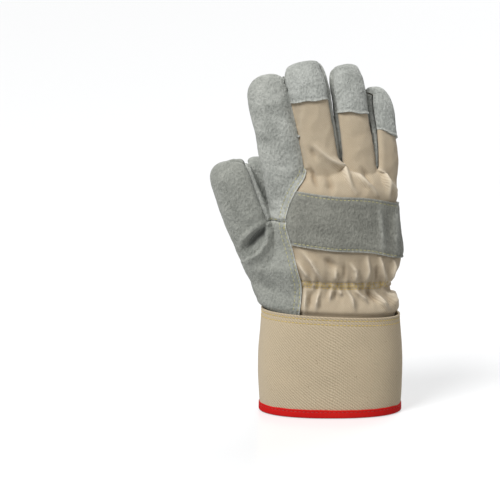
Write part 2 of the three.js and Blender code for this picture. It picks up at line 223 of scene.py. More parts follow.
def bump(tree, height, strength, distance):
    made = add(tree, "Bump", {"Strength": strength, "Distance": distance, "Height": height})
    return made.outputs[0]


def start_group(name, inputs, outputs):
    """A new group of nodes with named sockets, and its two end nodes"""
    tree = bpy.data.node_groups.new(name, "ShaderNodeTree")
    for label, value in inputs.items():
        kind = "NodeSocketVector" if value is None else "NodeSocketFloat"
        socket = tree.interface.new_socket(label, in_out="INPUT", socket_type=kind)
        if value is not None:
            socket.default_value = value
    for label in outputs:
        tree.interface.new_socket(label, in_out="OUTPUT", socket_type="NodeSocketFloat")
    return tree, tree.nodes.new("NodeGroupInput"), tree.nodes.new("NodeGroupOutput")


def twill_group():
    """Cotton twill: slanting ribs crossed by single yarns, slubs, and soft uneven dyeing"""
    tree, given, out = start_group(
        "twill weave", {"Vector": None, "Rib": 0.0012, "Yarn": 0.0007}, ["Tone", "Height", "Cloud"]
    )
    place = given.outputs["Vector"]
    parts = add(tree, "SeparateXYZ", {0: place})
    wander = add(tree, "TexNoise", {"Vector": place, "Scale": 260.0, "Detail": 2.0})
    drift = reckon(tree, "MULTIPLY", reckon(tree, "SUBTRACT", wander.outputs[0], 0.5), 0.0018)
    slant = reckon(tree, "ADD", reckon(tree, "ADD", parts.outputs[0], parts.outputs[2]), drift)
    along = reckon(tree, "ADD", parts.outputs[0], drift)
    full_turn, slanting_turn = 6.283, 4.44  # the second is for ribs that run at 45 degrees
    waves = []
    for way, turn, pitch in ((slant, slanting_turn, "Rib"), (along, full_turn, "Yarn")):
        turns = reckon(tree, "DIVIDE", reckon(tree, "MULTIPLY", way, turn), given.outputs[pitch])
        waves.append(reckon(tree, "SINE", turns))
    ribs, yarns = waves
    slubs = add(tree, "TexNoise", {"Vector": place, "Scale": 1500.0, "Detail": 3.0})
    yarn_height = reckon(tree, "MULTIPLY_ADD", yarns, 0.13, slubs.outputs[0])
    height = reckon(tree, "MULTIPLY_ADD", ribs, 0.3, yarn_height)
    cloud = add(tree, "TexNoise", {"Vector": place, "Scale": 45.0, "Detail": 4.0})
    feed(tree, out, {
        "Height": height,
        "Tone": reckon(tree, "MULTIPLY_ADD", height, 0.75, 0.15),
        "Cloud": cloud.outputs[0],
    })
    return tree


twill = twill_group()


def cloth_material(name, light, dark, rib, flecks, warm, fuzz):
    """Woven cotton. A piece's painted shade value darkens its dips as painted shade, and its pale edge
    value pales its fold crests as painted highlight.
    """
    material, tree, shader = start_material(name)
    cloth = kept(tree, "cloth", "Vector")
    weave = add(tree, "Group", {"Vector": cloth, "Rib": rib, "Yarn": rib * 0.62}, node_tree=twill)
    woven = blend(tree, weave.outputs["Tone"], dark, light)
    cloudy = blend(tree, remap(tree, weave.outputs["Cloud"], 0.35, 0.65, 0.25), woven, warm)
    # painted shade: a piece's dips are darkened towards a deeper warm colour
    deep = blend(tree, kept(tree, "painted_shade"), cloudy, [0.72 * part for part in warm])
    # painted highlight: fold crests paled towards a light colour
    wear_and_painted_highlight = blend(tree, kept(tree, "pale_edge_and_highlight"), deep, painted_crest_colour)
    seeds = add(tree, "TexVoronoi", {"Vector": cloth, "Scale": 420.0})
    picked = add(tree, "SeparateColor", {0: seeds.outputs["Color"]})
    near = reckon(tree, "LESS_THAN", seeds.outputs["Distance"], 0.13)
    rare = reckon(tree, "GREATER_THAN", picked.outputs[0], 1 - flecks)
    speck = reckon(tree, "MULTIPLY", reckon(tree, "MULTIPLY", near, rare), 0.75)
    feed(tree, shader, {
        "Base Color": blend(tree, speck, wear_and_painted_highlight, seed_colour),
        "Normal": bump(tree, weave.outputs["Height"], 0.8, 0.0004),
        "Roughness": reckon(tree, "MULTIPLY_ADD", weave.outputs["Tone"], 0.14, 0.8),
        "Specular IOR Level": 0.25,
        "Sheen Weight": fuzz,
        "Sheen Roughness": 0.5,
    })
    return material


canvas = cloth_material(
    "stiff canvas twill", canvas_colour, canvas_dark, rib=0.0016, flecks=0.14, warm=canvas_warm, fuzz=0.12
)


def cuff_strip(across, rise):
    """The strip from its inner end round to its outer end, which lies over the first few millimetres"""
    around = side_seam_turn + across * 1.018 - 0.009
    height = strip_low + rise * (cuff_height - strip_low)
    below_top = cuff_height - height
    points = cuff_place(around, height, 0.0)
    ends = np.where(across > 0.99, 0.5, 0.0) - 0.5 * step(0.012, 0.0, across)
    waves = lumps(points, 34, 3) * 0.8 + lumps(points, 15, 7) * 0.25
    bulge = np.sin(np.pi * rise**0.85) * (waves + 0.5 + 1.5 * np.cos(2 * np.pi * around) ** 2)
    top_fold = 0.35 * bell(below_top, 1.8)
    sewn = 0.22 * sum(bell(below_top - drop, 0.7) for drop in top_rows)
    out = ends + bulge + top_fold - sewn - 0.5 * step(0.03, 0.0, rise)
    return points + (cuff_place(around, height, 1.0) - points) * out[:, None]


cuff_grid = 420, 96
cuff_mesh = sheet(*cuff_grid, cuff_strip)
keep_cloth(cuff_mesh, *cuff_grid, cuff_round, cuff_height - strip_low)
cuff_mesh = built(
    cuff_mesh,
    ("SOLIDIFY", {"thickness": canvas_thick, "offset": -1}),
    rounded_edges(0.4, 60),
)
cuff = place_piece("cuff_canvas", cuff_mesh, canvas)
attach(cuff, "root")
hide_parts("cuff")

# Hem binding: a red cotton tape, folded over the cuff's lower edge and sewn through. The glove
# stands on it. Its edges ripple a little, and its ends meet on the palm side.
tape_height = 6.6
tape_wall, tape_thick = 1.1, 0.8  # the turned edge, and one layer of tape
tape_wide = 15.0  # before it is folded
tape_red = (0.62, 0.006, 0.004)
tape_dark = (0.36, 0.002, 0.002)
tape_worn = (0.7, 0.02, 0.01)


def tape_material():
    """Red tape, close woven, worn paler in places"""
    material, tree, shader = start_material("red woven tape")
    cloth = kept(tree, "cloth", "Vector")
    weave = add(tree, "Group", {"Vector": cloth, "Rib": 0.0007, "Yarn": 0.0006}, node_tree=twill)
    woven = blend(tree, weave.outputs["Tone"], tape_dark, tape_red)
    wear_and_painted_highlight = remap(tree, weave.outputs["Cloud"], 0.5, 0.75, 0.35)
    feed(tree, shader, {
        "Base Color": blend(tree, wear_and_painted_highlight, woven, tape_worn),
        "Normal": bump(tree, weave.outputs["Height"], 0.5, 0.0002),
        "Roughness": 0.7,
        "Specular IOR Level": 0.2,
    })
    return material


def tape_fold(across, rise):
    """Round the cuff, and from the edge inside it down under the canvas and up outside it"""
    around = side_seam_turn - 0.05 + across
    ripple = lumps(np.column_stack([across * cuff_round, rise * 6, 0 * rise]), 11, 4)
    edge_height = tape_height + 0.5 * ripple
    way = 1 - rise * 2  # 1 at the inner edge, 0 underneath, -1 at the outer edge
    height = edge_height * np.abs(way) ** 1.6
    side = np.where(way < 0, 1.2, -cuff_wall - tape_wall)
    middle = -cuff_wall / 2
    grow = middle + (side - middle) * (1 - bell(way, 0.16))
    edge = bell(np.abs(way) - 1, 0.05)
    sewn = bell(height - edge_height + 1.7, 0.5)
    puff = 0.12 * ripple - 0.35 * edge - 0.25 * sewn
    return cuff_place(around, height, grow + np.where(way < 0, puff, -puff))


def welded(name, meshes, reach, closed=False):
    """Some meshes as one, with points nearer than reach made one, and its open ends closed if asked"""
    joined = bmesh.new()
    for mesh in meshes:
        joined.from_mesh(mesh)
    bmesh.ops.remove_doubles(joined, verts=joined.verts, dist=reach)
    if closed:
        open_ends = [edge for edge in joined.edges if edge.is_boundary]
        bmesh.ops.holes_fill(joined, edges=open_ends, sides=0)
    result = bpy.data.meshes.new(name)
    joined.to_mesh(result)
    joined.free()
    return result


tape_grid = 360, 40
tape_mesh = sheet(*tape_grid, tape_fold)
keep_cloth(tape_mesh, *tape_grid, cuff_round, tape_wide)
tape_mesh = welded("tape", [tape_mesh], 0.01)
tape_mesh = built(tape_mesh, ("SOLIDIFY", {"thickness": tape_thick, "offset": -1}))
tape = place_piece("hem_binding", tape_mesh, tape_material())
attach(tape, "root")
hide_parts("hem_tape")

# The hand, fingers and thumb as one soft form, which isn't kept as a piece itself. Every panel of
# leather and cotton is cut from it, so that neighbouring panels meet along their seams as sewn ones do.
palm_length, half_palm, half_depth = 104.0, 51.0, 25.0
finger_foot = cuff_height + palm_length
hand_low, hand_tall = -0.37, 1.38  # where the form starts in the cuff and how far it rises, in palms
hand_rows = np.array([  # up, left, right, back, front, cup
    (-0.37, 0.96, 0.96, 1.028, 1.028, 0.0),
    (0.0, 0.965, 0.965, 1.035, 1.035, 0.0),
    (0.04, 1.06, 0.985, 1.02, 1.0, 0.0),
    (0.08, 1.08, 0.955, 0.96, 0.97, 0.0),
    (0.15, 1.15, 0.86, 0.86, 0.94, 0.02),
    (0.21, 1.165, 0.875, 0.86, 0.95, 0.04),
    (0.3, 1.13, 0.98, 0.96, 1.0, 0.08),
    (0.42, 1.03, 1.02, 1.0, 1.02, 0.14),
    (0.58, 0.95, 0.99, 1.0, 1.0, 0.2),
    (0.76, 0.93, 0.95, 0.94, 0.88, 0.26),
    (0.9, 0.92, 0.94, 0.82, 0.72, 0.3),
    (0.97, 0.88, 0.88, 0.6, 0.5, 0.3),
    (1.01, 0.8, 0.8, 0.3, 0.25, 0.3),
])
digit_shape = np.array([  # along, then width and depth of a round finger and of a blunt one
    (0.0, 0.95, 1.0, 0.95, 1.0),
    (0.24, 1.02, 1.0, 1.02, 1.0),
    (0.45, 1.0, 0.98, 1.0, 0.98),
    (0.65, 0.98, 0.95, 0.98, 0.95),
    (0.8, 0.99, 0.94, 1.0, 0.94),
    (0.86, 0.96, 0.89, 1.0, 0.9),
    (0.91, 0.89, 0.8, 0.975, 0.83),
    (0.955, 0.74, 0.65, 0.9, 0.7),
    (0.985, 0.54, 0.46, 0.79, 0.52),
    (1.0, 0.32, 0.26, 0.6, 0.34),
])
finger_depth, finger_oval = 25.0, 2.5
# Length and width in millimetres; how much the tip swells and how blunt it is; the twist in degrees;
# where the finger sits, as shares of half the palm's width and depth; its lean towards the thumb,
# its bow, its curl towards the palm, and the lean of its root inside the hand.
finger_rows = {
    "index": dict(length=69, width=32.5, tip=1.0, blunt=0.0, turn=-4,
                  seat=-0.63, set=0.0, lean=0.25, bow=-0.02, curl=0.16, root=0.08),
    "middle": dict(length=78.5, width=28.5, tip=1.08, blunt=0.9, turn=0,
                   seat=-0.1, set=-0.08, lean=0.21, bow=-0.04, curl=0.15, root=0.05),
    "ring": dict(length=75, width=25.5, tip=0.96, blunt=0.8, turn=12,
                 seat=0.475, set=0.1, lean=0.203, bow=-0.01, curl=0.22, root=-0.05),
    "little": dict(length=57, width=23.5, tip=1.0, blunt=0.4, turn=32,
                   seat=0.77, set=0.44, lean=0.175, bow=-0.12, curl=0.32, root=-0.2),
}
thumb_row = dict(length=108.5, width=34, depth=30, tip=0.93, blunt=0.0, turn=-6)
web_row = dict(length=60, width=20, depth=17, tip=1.0, blunt=0.0, turn=0)
root_long = 24  # how far a finger's form runs down inside the hand


def between(table, at):
    """Every column of a table at the given places, read smoothly between its rows"""
    keys = table[:, 0]
    at = np.clip(at, keys[0], keys[-1])
    k = np.clip(np.searchsorted(keys, at) - 1, 0, len(keys) - 2)
    span = keys[k + 1] - keys[k]
    t = (at - keys[k]) / span
    found = []
    for values in table[:, 1:].T:
        slope = np.gradient(values, keys)
        found.append(
            values[k] * (1 + 2 * t) * (1 - t) ** 2
            + values[k + 1] * t * t * (3 - 2 * t)
            + span * (slope[k] * t * (1 - t) ** 2 + slope[k + 1] * t * t * (t - 1))
        )
    return found


def digit_path(row):
    """The three points that a finger's curved centre line follows"""
    foot = np.array([row["seat"] * half_palm, row["set"] * half_depth, finger_foot])
    tip = foot + np.array([-row["lean"], row["curl"], 1]) * row["length"]
    root = foot + np.array([row["root"], -0.4 * row["set"], -1]) * root_long
    bend = (root + tip) / 2 - np.array([row["bow"], 0.35 * row["curl"], 0]) * row["length"]
    return root, bend, tip


digits = {name: dict(row, depth=finger_depth, path=digit_path(row)) for name, row in finger_rows.items()}
thumb_root = np.array([-0.72 * half_palm, 1.0, cuff_height + 0.135 * palm_length])
thumb_steps = np.array([(0.0, 0.0, 0.0), (-0.288, -0.01, 0.608), (-0.373, 0.02, 0.898)])
digits["thumb"] = dict(thumb_row, path=thumb_root + thumb_steps * thumb_row["length"])
# The leather between the thumb and the index finger bulges up behind the thumb's edge.
web_path = np.array([(-27.0, 11.0, 128.0), (-51.0, 13.0, 148.0), (-55.0, 13.0, 189.5)])
web_form = dict(web_row, path=web_path)


def unit(vectors):
    return vectors / np.linalg.norm(vectors, axis=1, keepdims=True)


def digit_axes(digit, at):
    """Centre, axis, side and palm-ward direction of a finger at places along it"""
    root, bend, tip = digit["path"]
    t = at[:, None]
    centre = (1 - t) ** 2 * root + 2 * t * (1 - t) * bend + t * t * tip
    axis = unit(2 * (1 - t) * (bend - root) + 2 * t * (tip - bend))
    side = unit(np.cross((0.0, 1.0, 0.0), axis))
    turn = math.radians(digit["turn"])
    side = side * math.cos(turn) + np.cross(axis, side) * math.sin(turn)
    return centre, axis, side, np.cross(axis, side)


def digit_half(digit, at):
    """Half the width and half the depth of a finger at places along it"""
    wide, deep, blunt_wide, blunt_deep = between(digit_shape, at)
    wide = wide + (blunt_wide - wide) * digit["blunt"]
    deep = deep + (blunt_deep - deep) * digit["blunt"]
    swell = 1 + (digit["tip"] - 1) * step(0.5, 0.85, at)
    return wide * swell * digit["width"] / 2, deep * digit["depth"] / 2


def hand_place(turn, rise):
    """Points on the form of the palm and the back of the hand, from inside the cuff to the knuckles"""
    up = hand_low + hand_tall * rise
    left, right, back, front, cup = between(hand_rows, up)
    reach, middle = (left + right) / 2 * half_palm, (right - left) / 2 * half_palm
    u, v = section(turn, oval, reach, back * half_depth, front * half_depth)
    level = cuff_slope * np.clip(1 - np.maximum(up, 0) / 0.3, 0, 1)
    cupped = v + cup * half_depth * (u / reach) ** 2
    return np.column_stack([middle + u, cupped, cuff_height + up * palm_length - level * u])


def digit_place(digit):
    """The form of one finger, as a function of the place round it and along it"""
    def place(turn, rise):
        at = np.sin(rise * np.pi / 2)
        wide, deep = digit_half(digit, at)
        centre, axis, side, palmward = digit_axes(digit, at)
        u, v = section(turn, finger_oval, wide, deep, deep)
        return centre + side * u[:, None] + palmward * v[:, None]
    return place


voxel = 0.8  # millimetres
forms = [sheet(160, 150, hand_place)]
for digit in [*digits.values(), web_form]:
    forms.append(sheet(72, 64, digit_place(digit)))
skin = built(
    welded("hand form", forms, 0.001, closed=True),
    ("REMESH", {"mode": "VOXEL", "voxel_size": voxel}),
    ("SMOOTH", {"factor": 0.5, "iterations": 12}),
)

# Where one panel ends and the next begins. Each value is about the distance in millimetres from a
# seam, above zero on one side of it and below zero on the other.
lap_rows = np.array([  # height above the cuff and place across, as shares of the palm and half of it
    (-0.4, -0.48), (-0.2, -0.48), (0.01, -0.47), (0.113, -0.44), (0.216, -0.437), (0.331, -0.494),
    (0.481, -0.576), (0.6, -0.645), (0.66, -0.663), (0.72, -0.645), (0.82, -0.582), (0.9, -0.5),
    (0.98, -0.39), (1.03, -0.36),
])
inset_rows = np.array([  # the same, for the edge of the thumb's front panel
    (0.0, -1.3), (0.12, -1.06), (0.24, -0.9), (0.38, -0.76), (0.52, -0.77), (0.66, -0.93),
])
web_x, web_z, web_lean = -0.93 * half_palm, cuff_height + 0.66 * palm_length, 0.38
seam_places = {  # how far behind a finger's middle its left and right seams run, in millimetres
    "index": (-3.7, -3.7), "middle": (-3.7, -6.4), "ring": (-5.5, -4.5), "little": (-10.2, -3.7),
}
half_seam = 0.17  # a panel ends this far short of its seam's middle
tuck = 13.0  # how deep the panels reach down inside the cuff
cotton_wall, leather_wall = 1.3, 1.8  # the cotton with its lining, and the leather


def up_to(share):
    """A height, given as a share of the palm above the cuff"""
    return cuff_height + share * palm_length


def between_fingers(first, second, z):
    """The middle of the gap between two fingers, at a height"""
    a, b = digits[first], digits[second]
    foot = (a["seat"] + b["seat"]) / 2 * half_palm + (a["width"] - b["width"]) / 4
    return foot - (z - finger_foot) * (a["lean"] + b["lean"]) / 2


def lap_line(z):
    """Where the leather's edge lies over the cotton on the back"""
    low_part = between(lap_rows, (z - cuff_height) / palm_length)[0] * half_palm
    return np.where(z < up_to(lap_rows[-1, 0]), low_part, between_fingers("index", "middle", z))


def along_digit(points, digit):
    """Place along a finger, and offsets across it and towards the palm, of points near it"""
    stops = np.linspace(0, 1, 61)
    centre = digit_axes(digit, stops)[0]
    at = np.concatenate([
        stops[((some[:, None, :] - centre[None]) ** 2).sum(2).argmin(1)]
        for some in np.array_split(points, 1 + len(points) // 20000)
    ])
    for _ in range(2):
        centre, axis, side, palmward = digit_axes(digit, at)
        at = np.clip(at + ((points - centre) * axis).sum(1) / (digit["length"] * 1.15), 0, 1)
    centre, axis, side, palmward = digit_axes(digit, at)
    return at, ((points - centre) * side).sum(1), ((points - centre) * palmward).sum(1)


rest = read(skin)
x, y, z = rest.T
normals = np.empty(len(rest) * 3, np.float32)
skin.vertex_normals.foreach_get("vector", normals)
write(skin, "rest", rest)
write(skin, "lean", normals.reshape(-1, 3).astype(float))

is_thumb = (z > 140) & (x < web_x - web_lean * (z - web_z))
best = np.full(len(rest), 1e9)
finger_seam = np.zeros(len(rest))
reach_of = {}
for name in finger_rows:
    digit = digits[name]
    at, u, v = along_digit(rest, digit)
    wide, deep = digit_half(digit, at)
    far = np.hypot(u / wide, v / deep)
    reach_of[name] = far
    nearer = far < best
    best = np.where(nearer, far, best)
    left, right = seam_places[name]
    down = left + (right - left) * step(-9, 9, u)
    seam = v - down * (1 - 0.8 * step(0.92, 1.0, at))
    finger_seam = np.where(nearer, seam, finger_seam)
hand_seam = y - 0.08 * (x + half_palm)
at, u, v = along_digit(rest, digits["thumb"])
web_edge = web_lean * np.maximum(z - web_z, 0)
thumb_share = step(0.36, 0.56, at) * (x < web_x - web_edge)
hand_seam = hand_seam * (1 - thumb_share) + (v - 2.5 + 8.5 * step(-5, 7, u)) * thumb_share
in_fingers = np.where(is_thumb, 0, step(up_to(0.9), up_to(1.04), z))
write(skin, "side", hand_seam * (1 - in_fingers) + finger_seam * in_fingers)
apart = step(up_to(1.0), up_to(1.05), z)


def away_from(name, line):
    """Above zero away from a finger: measured from a line in the palm, and by nearness above it"""
    nearest = np.min([reach_of[other] for other in finger_rows if other != name], axis=0)
    return line * (1 - apart) + 12 * (reach_of[name] - nearest) * apart


write(skin, "lap", away_from("index", x - lap_line(z)))
write(skin, "foot", np.minimum(z - web_z, x - web_x + web_lean * (z - web_z)))
past_index = away_from("index", x - between_fingers("index", "middle", z))
before_little = away_from("little", between_fingers("ring", "little", z) - x)
arch = up_to(0.93) + 2.0 - 5.5 * np.abs((x - 10) / 32) ** 3
write(skin, "under", np.minimum(np.minimum(z - arch, past_index), before_little))
inset_line = between(inset_rows, (z - cuff_height) / palm_length)[0] * half_palm - web_edge
write(skin, "inset", np.minimum(inset_line - x, z - up_to(0.12)))
write(skin, "lump", lumps(rest, 24, 1) * 0.9 + lumps(rest, 10, 5) * 0.4)


def cut(mesh, keep):
    """The main patch of a mesh where keep is above zero, cut cleanly where it is zero"""
    held = mesh.copy()
    rest = read(held, "rest")
    write(held, "position", np.column_stack([keep, rest[:, 1], rest[:, 2]]))
    work = bmesh.new()
    work.from_mesh(held)
    everything = work.verts[:] + work.edges[:] + work.faces[:]
    bmesh.ops.bisect_plane(
        work, geom=everything, dist=1e-5, plane_co=(0, 0, 0), plane_no=(1, 0, 0), clear_inner=True
    )
    for vert in work.verts:
        vert.tag = False
    patches = []
    for first in work.verts:
        if first.tag:
            continue
        first.tag = True
        patch, front = [first], [first]
        while front:
            for edge in front.pop().link_edges:
                for vert in edge.verts:
                    if not vert.tag:
                        vert.tag = True
                        patch.append(vert)
                        front.append(vert)
        patches.append(patch)
    patches.sort(key=len)
    loose = [vert for patch in patches[:-1] for vert in patch]
    bmesh.ops.delete(work, geom=loose, context="VERTS")
    work.to_mesh(held)
    work.free()
    write(held, "position", read(held, "rest"))
    return held


def edge_points(mesh):
    """Which points of a mesh lie on its open border"""
    uses = np.empty(len(mesh.loops), np.int32)
    mesh.loops.foreach_get("edge_index", uses)
    ends = np.empty(len(mesh.edges) * 2, np.int32)
    mesh.edges.foreach_get("vertices", ends)
    open_edges = np.bincount(uses, minlength=len(mesh.edges)) == 1
    border = np.zeros(len(mesh.vertices), bool)
    border[ends.reshape(-1, 2)[open_edges].ravel()] = True
    return border


def from_edge(mesh, *names, top=1e3):
    """Distance in millimetres from the cut edge along any of the named seams, below a height"""
    border = edge_points(mesh)
    rest = read(mesh, "rest")
    chosen = np.zeros(len(rest), bool)
    for name in names:
        chosen |= border & (np.abs(read(mesh, name)) < 0.8) & (rest[:, 2] < top)
    if not chosen.any():
        return np.full(len(rest), 1e3)
    tree = KDTree(int(chosen.sum()))
    for k, point in enumerate(rest[chosen]):
        tree.insert(point, k)
    tree.balance()
    return np.array([tree.find(point)[2] for point in rest])


def beside_line(line, flat):
    """For each of some (x, z) points: its distance from a line, the side of it that it is on, the
    nearest part of the line, and the place along that part from 0 to 1"""
    nearest = np.array([np.full(len(flat), 1e9), *np.zeros((3, len(flat)))])
    for k, (a, b) in enumerate(zip(line[:-1], line[1:])):
        run = b - a
        share = np.clip(((flat - a) @ run) / (run @ run), 0, 1)
        away = flat - (a + share[:, None] * run)
        gap = np.linalg.norm(away, axis=1)
        side = np.sign(away @ np.array([-run[1], run[0]]))
        nearest = np.where(gap < nearest[0], np.array([gap, side, np.full(len(flat), k), share]), nearest)
    return nearest[0], nearest[1], nearest[2].astype(int), nearest[3]


def fold(mesh, line, height, width):
    """A fold along a line of (x, z) points, thinning out towards its ends"""
    line = np.array(line, float)
    runs = np.linalg.norm(np.diff(line, axis=0), axis=1)
    before = np.concatenate([[0], np.cumsum(runs)])
    near, _, part, share = beside_line(line, read(mesh, "rest")[:, (0, 2)])
    at = before[part] + share * runs[part]
    ends = np.clip(np.minimum(at, before[-1] - at) / (0.35 * before[-1]), 0, 1)
    return height * bell(near, width) * (0.25 + 0.75 * ends)


def overlap(mesh, line, lift, sink, reach):
    """A crease where one side of a line swells over the other, which dips under it"""
    line = np.array(line, float)
    near, side, part, share = beside_line(line, read(mesh, "rest")[:, (0, 2)])
    at = (part + share) / (len(line) - 1)
    ends = np.clip(np.minimum(at, 1 - at) / 0.3, 0, 1)
    above = step(-0.9, 0.9, near * side)
    swell = lift * bell(near, reach) * above
    dip = sink * bell(near, 0.8 * reach) * (1 - above)
    return (swell - dip) * (0.15 + 0.85 * ends)


def folded(mesh, out, rows):
    """The same shape with some folds added, each given as its line, its height and its width"""
    for line, height, width in rows:
        out = out + fold(mesh, line, height, width)
    return out


def turned_seam(gap, depth=1.3):
    """The dip where two panels are sewn right sides together and turned, and the swell beside it"""
    return 0.45 * bell(gap - 3.6, 2.4) - depth * bell(gap, 1.3)


def level_height(mesh):
    """Height of a panel's points, as if the cuff's top edge were level"""
    rest = read(mesh, "rest")
    return rest[:, 2] + cuff_slope * rest[:, 0]


def above_cuff(mesh):
    """1 above the cuff, and 0 where a panel is tucked into it"""
    return step(0, 9, level_height(mesh) - cuff_height - 1)


def tucked(mesh):
    """Above zero over the panels' lower edge, which is hidden inside the cuff"""
    return level_height(mesh) - (cuff_height - tuck)


def shape_panel(mesh, out, wall, painted_shade=None, pale_edge_and_highlight=None, ease=0):
    """Moves a panel's points in and out along its own face, and gives it its thickness. The painted shade
    value darkens it as painted shade, by default in its dips, and the pale edge value pales its cut edges
    and paints highlight on fold crests, each from 0 to 1, and ease smooths steep folds that many times."""
    lean = unit(read(mesh, "lean"))
    if wall > cotton_wall:  # the brushed face of split leather is never flat
        rest = read(mesh, "rest")
        out = out + 0.1 * lumps(rest, 2.4, 21) + 0.15 * lumps(rest, 6.0, 23)
    write(mesh, "position", read(mesh, "position") + lean * out[:, None])
    # painted shade: unless a piece gives its own, the panel's dips are darkened in its colour
    write(mesh, "painted_shade", np.clip(-out / 3.5, 0, 0.55) if painted_shade is None else painted_shade)
    # pales cut edges, and paints highlight on fold crests where a piece gives them
    write(mesh, "pale_edge_and_highlight", np.zeros(len(out)) if pale_edge_and_highlight is None else pale_edge_and_highlight)
    write(mesh, "cloth", read(mesh, "rest") * 0.001)
    return built(
        mesh,
        ("SMOOTH", {"factor": 0.5, "iterations": ease}),
        ("SOLIDIFY", {"thickness": wall, "offset": -1}),
        rounded_edges(0.35, 62),
    )


front = cut(skin, read(skin, "side") - half_seam)
back = cut(skin, -read(skin, "side") - half_seam)

# Palm: split leather, with the fronts of the index and little fingers in one piece with it. Below,
# between two slits, it is carried on over the outside of the cuff as a rounded wrist tab.
suede_light, suede_dark = (0.5, 0.51, 0.47), (0.18, 0.19, 0.172)
suede_edge_and_highlight = (0.62, 0.63, 0.58)  # fibres showing where the leather is cut, and the colour of the painted highlight on fold ridges
tab_left, tab_right, tab_low, tab_corner = -42.0, 34.9, 43.0, 15.0
tab_top = 95.0  # where the tab is marked off from the palm, above the slits
slit_top, slit_dip = 86.0, 7.0  # where the leather starts to bend out over the cuff
tab_inset = 3.2  # the row of stitches round the tab
palm_creases = [  # soft creases of the hand, as (x, z) lines, then height and width
    ([(-34, 168), (-12, 158), (10, 160), (38, 168)], -0.9, 5.0),
    ([(-38, 150), (-22, 136), (-14, 118), (-16, 98)], -1.0, 6.0),
    ([(40, 150), (22, 146), (4, 136), (-8, 120)], -0.7, 6.0),
    ([(-30, 96), (0, 92), (30, 95)], -0.8, 4.0),
]
palm_rows = [  # the two rows of stitches that cross in the palm
    [(22.3, 163.8), (13.4, 154.0), (7.4, 145.3), (5.6, 134.7), (2.7, 128.0), (-7.4, 112.5),
     (-20.0, 98.9), (-32.4, 87.6)],
    [(-20.5, 163.6), (-13.4, 154.7), (-3.7, 141.5), (1.8, 129.1), (4.2, 121.2), (5.6, 111.7),
     (10.4, 98.2), (16.0, 88.0)],
]


def nap_group():
    """Suede's nap: fine pebbles, brushed patches that lean one way or the other, and stray fibres"""
    tree, given, out = start_group(
        "suede nap", {"Vector": None, "Pebble": 520.0, "Patch": 60.0}, ["Tone", "Height", "Patch"]
    )
    place, pebble = given.outputs["Vector"], given.outputs["Pebble"]
    brushed = add(tree, "VectorMath", {0: place, 1: (1.0, 1.0, 0.62)}, operation="MULTIPLY").outputs[0]
    pebbles = add(tree, "TexNoise", {
        "Vector": brushed, "Scale": pebble, "Detail": 5.0, "Roughness": 0.7, "Distortion": 0.12
    })
    cells = add(tree, "TexVoronoi", {"Vector": brushed, "Scale": pebble})
    patch = add(tree, "TexNoise", {
        "Vector": place, "Scale": given.outputs["Patch"], "Detail": 5.0, "Distortion": 0.6
    })
    height = reckon(tree, "MULTIPLY_ADD", cells.outputs["Distance"], 0.3, pebbles.outputs[0])
    feed(tree, out, {
        "Height": height,
        "Tone": remap(tree, height, 0.44, 0.83),
        "Patch": remap(tree, patch.outputs[0], 0.36, 0.66),
    })
    return tree


nap = nap_group()


def suede_material(name, light, dark, patchiness):
    """Split leather with a brushed face, paler on cut edges, with painted highlight on fold ridges where
    a piece gives them and painted shade in its creases
    """
    material, tree, shader = start_material(name)
    place = add(tree, "TexCoord").outputs["Object"]
    fibres = add(tree, "Group", {"Vector": place, "Pebble": 660.0, "Patch": 62.0}, node_tree=nap)
    pebbly = reckon(tree, "MULTIPLY_ADD", fibres.outputs["Tone"], 0.46, 0.13)
    tone = reckon(tree, "MULTIPLY_ADD", fibres.outputs["Patch"], patchiness, pebbly)
    toned = blend(tree, tone, dark, light)
    # painted shade: creases darkened towards a deeper dark
    painted_crease_shade = blend(tree, kept(tree, "painted_shade"), toned, [0.7 * part for part in dark])
    frayed = reckon(tree, "MULTIPLY_ADD", fibres.outputs["Tone"], 0.7, 0.3)
    # pales cut edges, and paints highlight on fold ridges where a piece gives them
    pale = reckon(tree, "MULTIPLY", kept(tree, "pale_edge_and_highlight"), frayed)
    feed(tree, shader, {
        "Base Color": blend(tree, pale, painted_crease_shade, suede_edge_and_highlight),
        "Normal": bump(tree, fibres.outputs["Height"], 1.0, 0.0015),
        "Roughness": 0.95,
        "Specular IOR Level": 0.15,
        "Sheen Weight": 0.3,
        "Sheen Roughness": 0.45,
        "Sheen Tint": (0.86, 0.88, 0.85, 1),
    })
    return material


palm_suede = suede_material("palm suede", suede_light, suede_dark, 0.36)


def cuff_front(x, z, grow):
    """How far towards the palm the cuff's form reaches"""
    across, deep = cuff_half(z, grow)
    return deep * (1 - np.clip(np.abs(x) / across, 0, 0.99) ** oval) ** (1 / oval)


def tab_foot(x):
    """The tab's lower edge, level with the cuff's slanting top"""
    return tab_low - 2 * cuff_slope * (x - tab_right)


def between_sides(x):
    """Distance from the nearer of the tab's two sides, above zero between them"""
    return np.minimum(x - tab_left, tab_right - x)


whole = cut(front, -read(front, "under") - half_seam)
whole = cut(whole, -read(whole, "inset") - half_seam)
x, y, z = read(whole, "rest").T
column = np.minimum(between_sides(x), tab_top - z)
body = cut(whole, -column)
body = cut(body, tucked(body))
tab = cut(whole, column)
x, y, z = read(tab, "rest").T
past_side = np.maximum(np.maximum(tab_left + tab_corner - x, x - tab_right + tab_corner), 0)
past_foot = np.maximum(tab_foot(x) + tab_corner - z, 0)
inside = np.minimum(between_sides(x), z - tab_foot(x))
in_corner = (past_side > 0) & (past_foot > 0)
outline = np.where(in_corner, tab_corner - np.hypot(past_side, past_foot), inside)
write(tab, "outline", outline)
tab = cut(tab, outline)
write(body, "outline", np.full(len(body.vertices), 99.0))
x, y, z = read(tab, "rest").T
middle, half = (tab_left + tab_right) / 2, (tab_right - tab_left) / 2
start = slit_top + slit_dip * (1 - ((x - middle) / half) ** 2)
share = 1 - step(-9, 0, z - start)
write(tab, "position", np.column_stack([x, y + share * (cuff_front(x, z, 2.5) - y), z]))
write(tab, "over", share)
write(body, "over", np.zeros(len(body.vertices)))

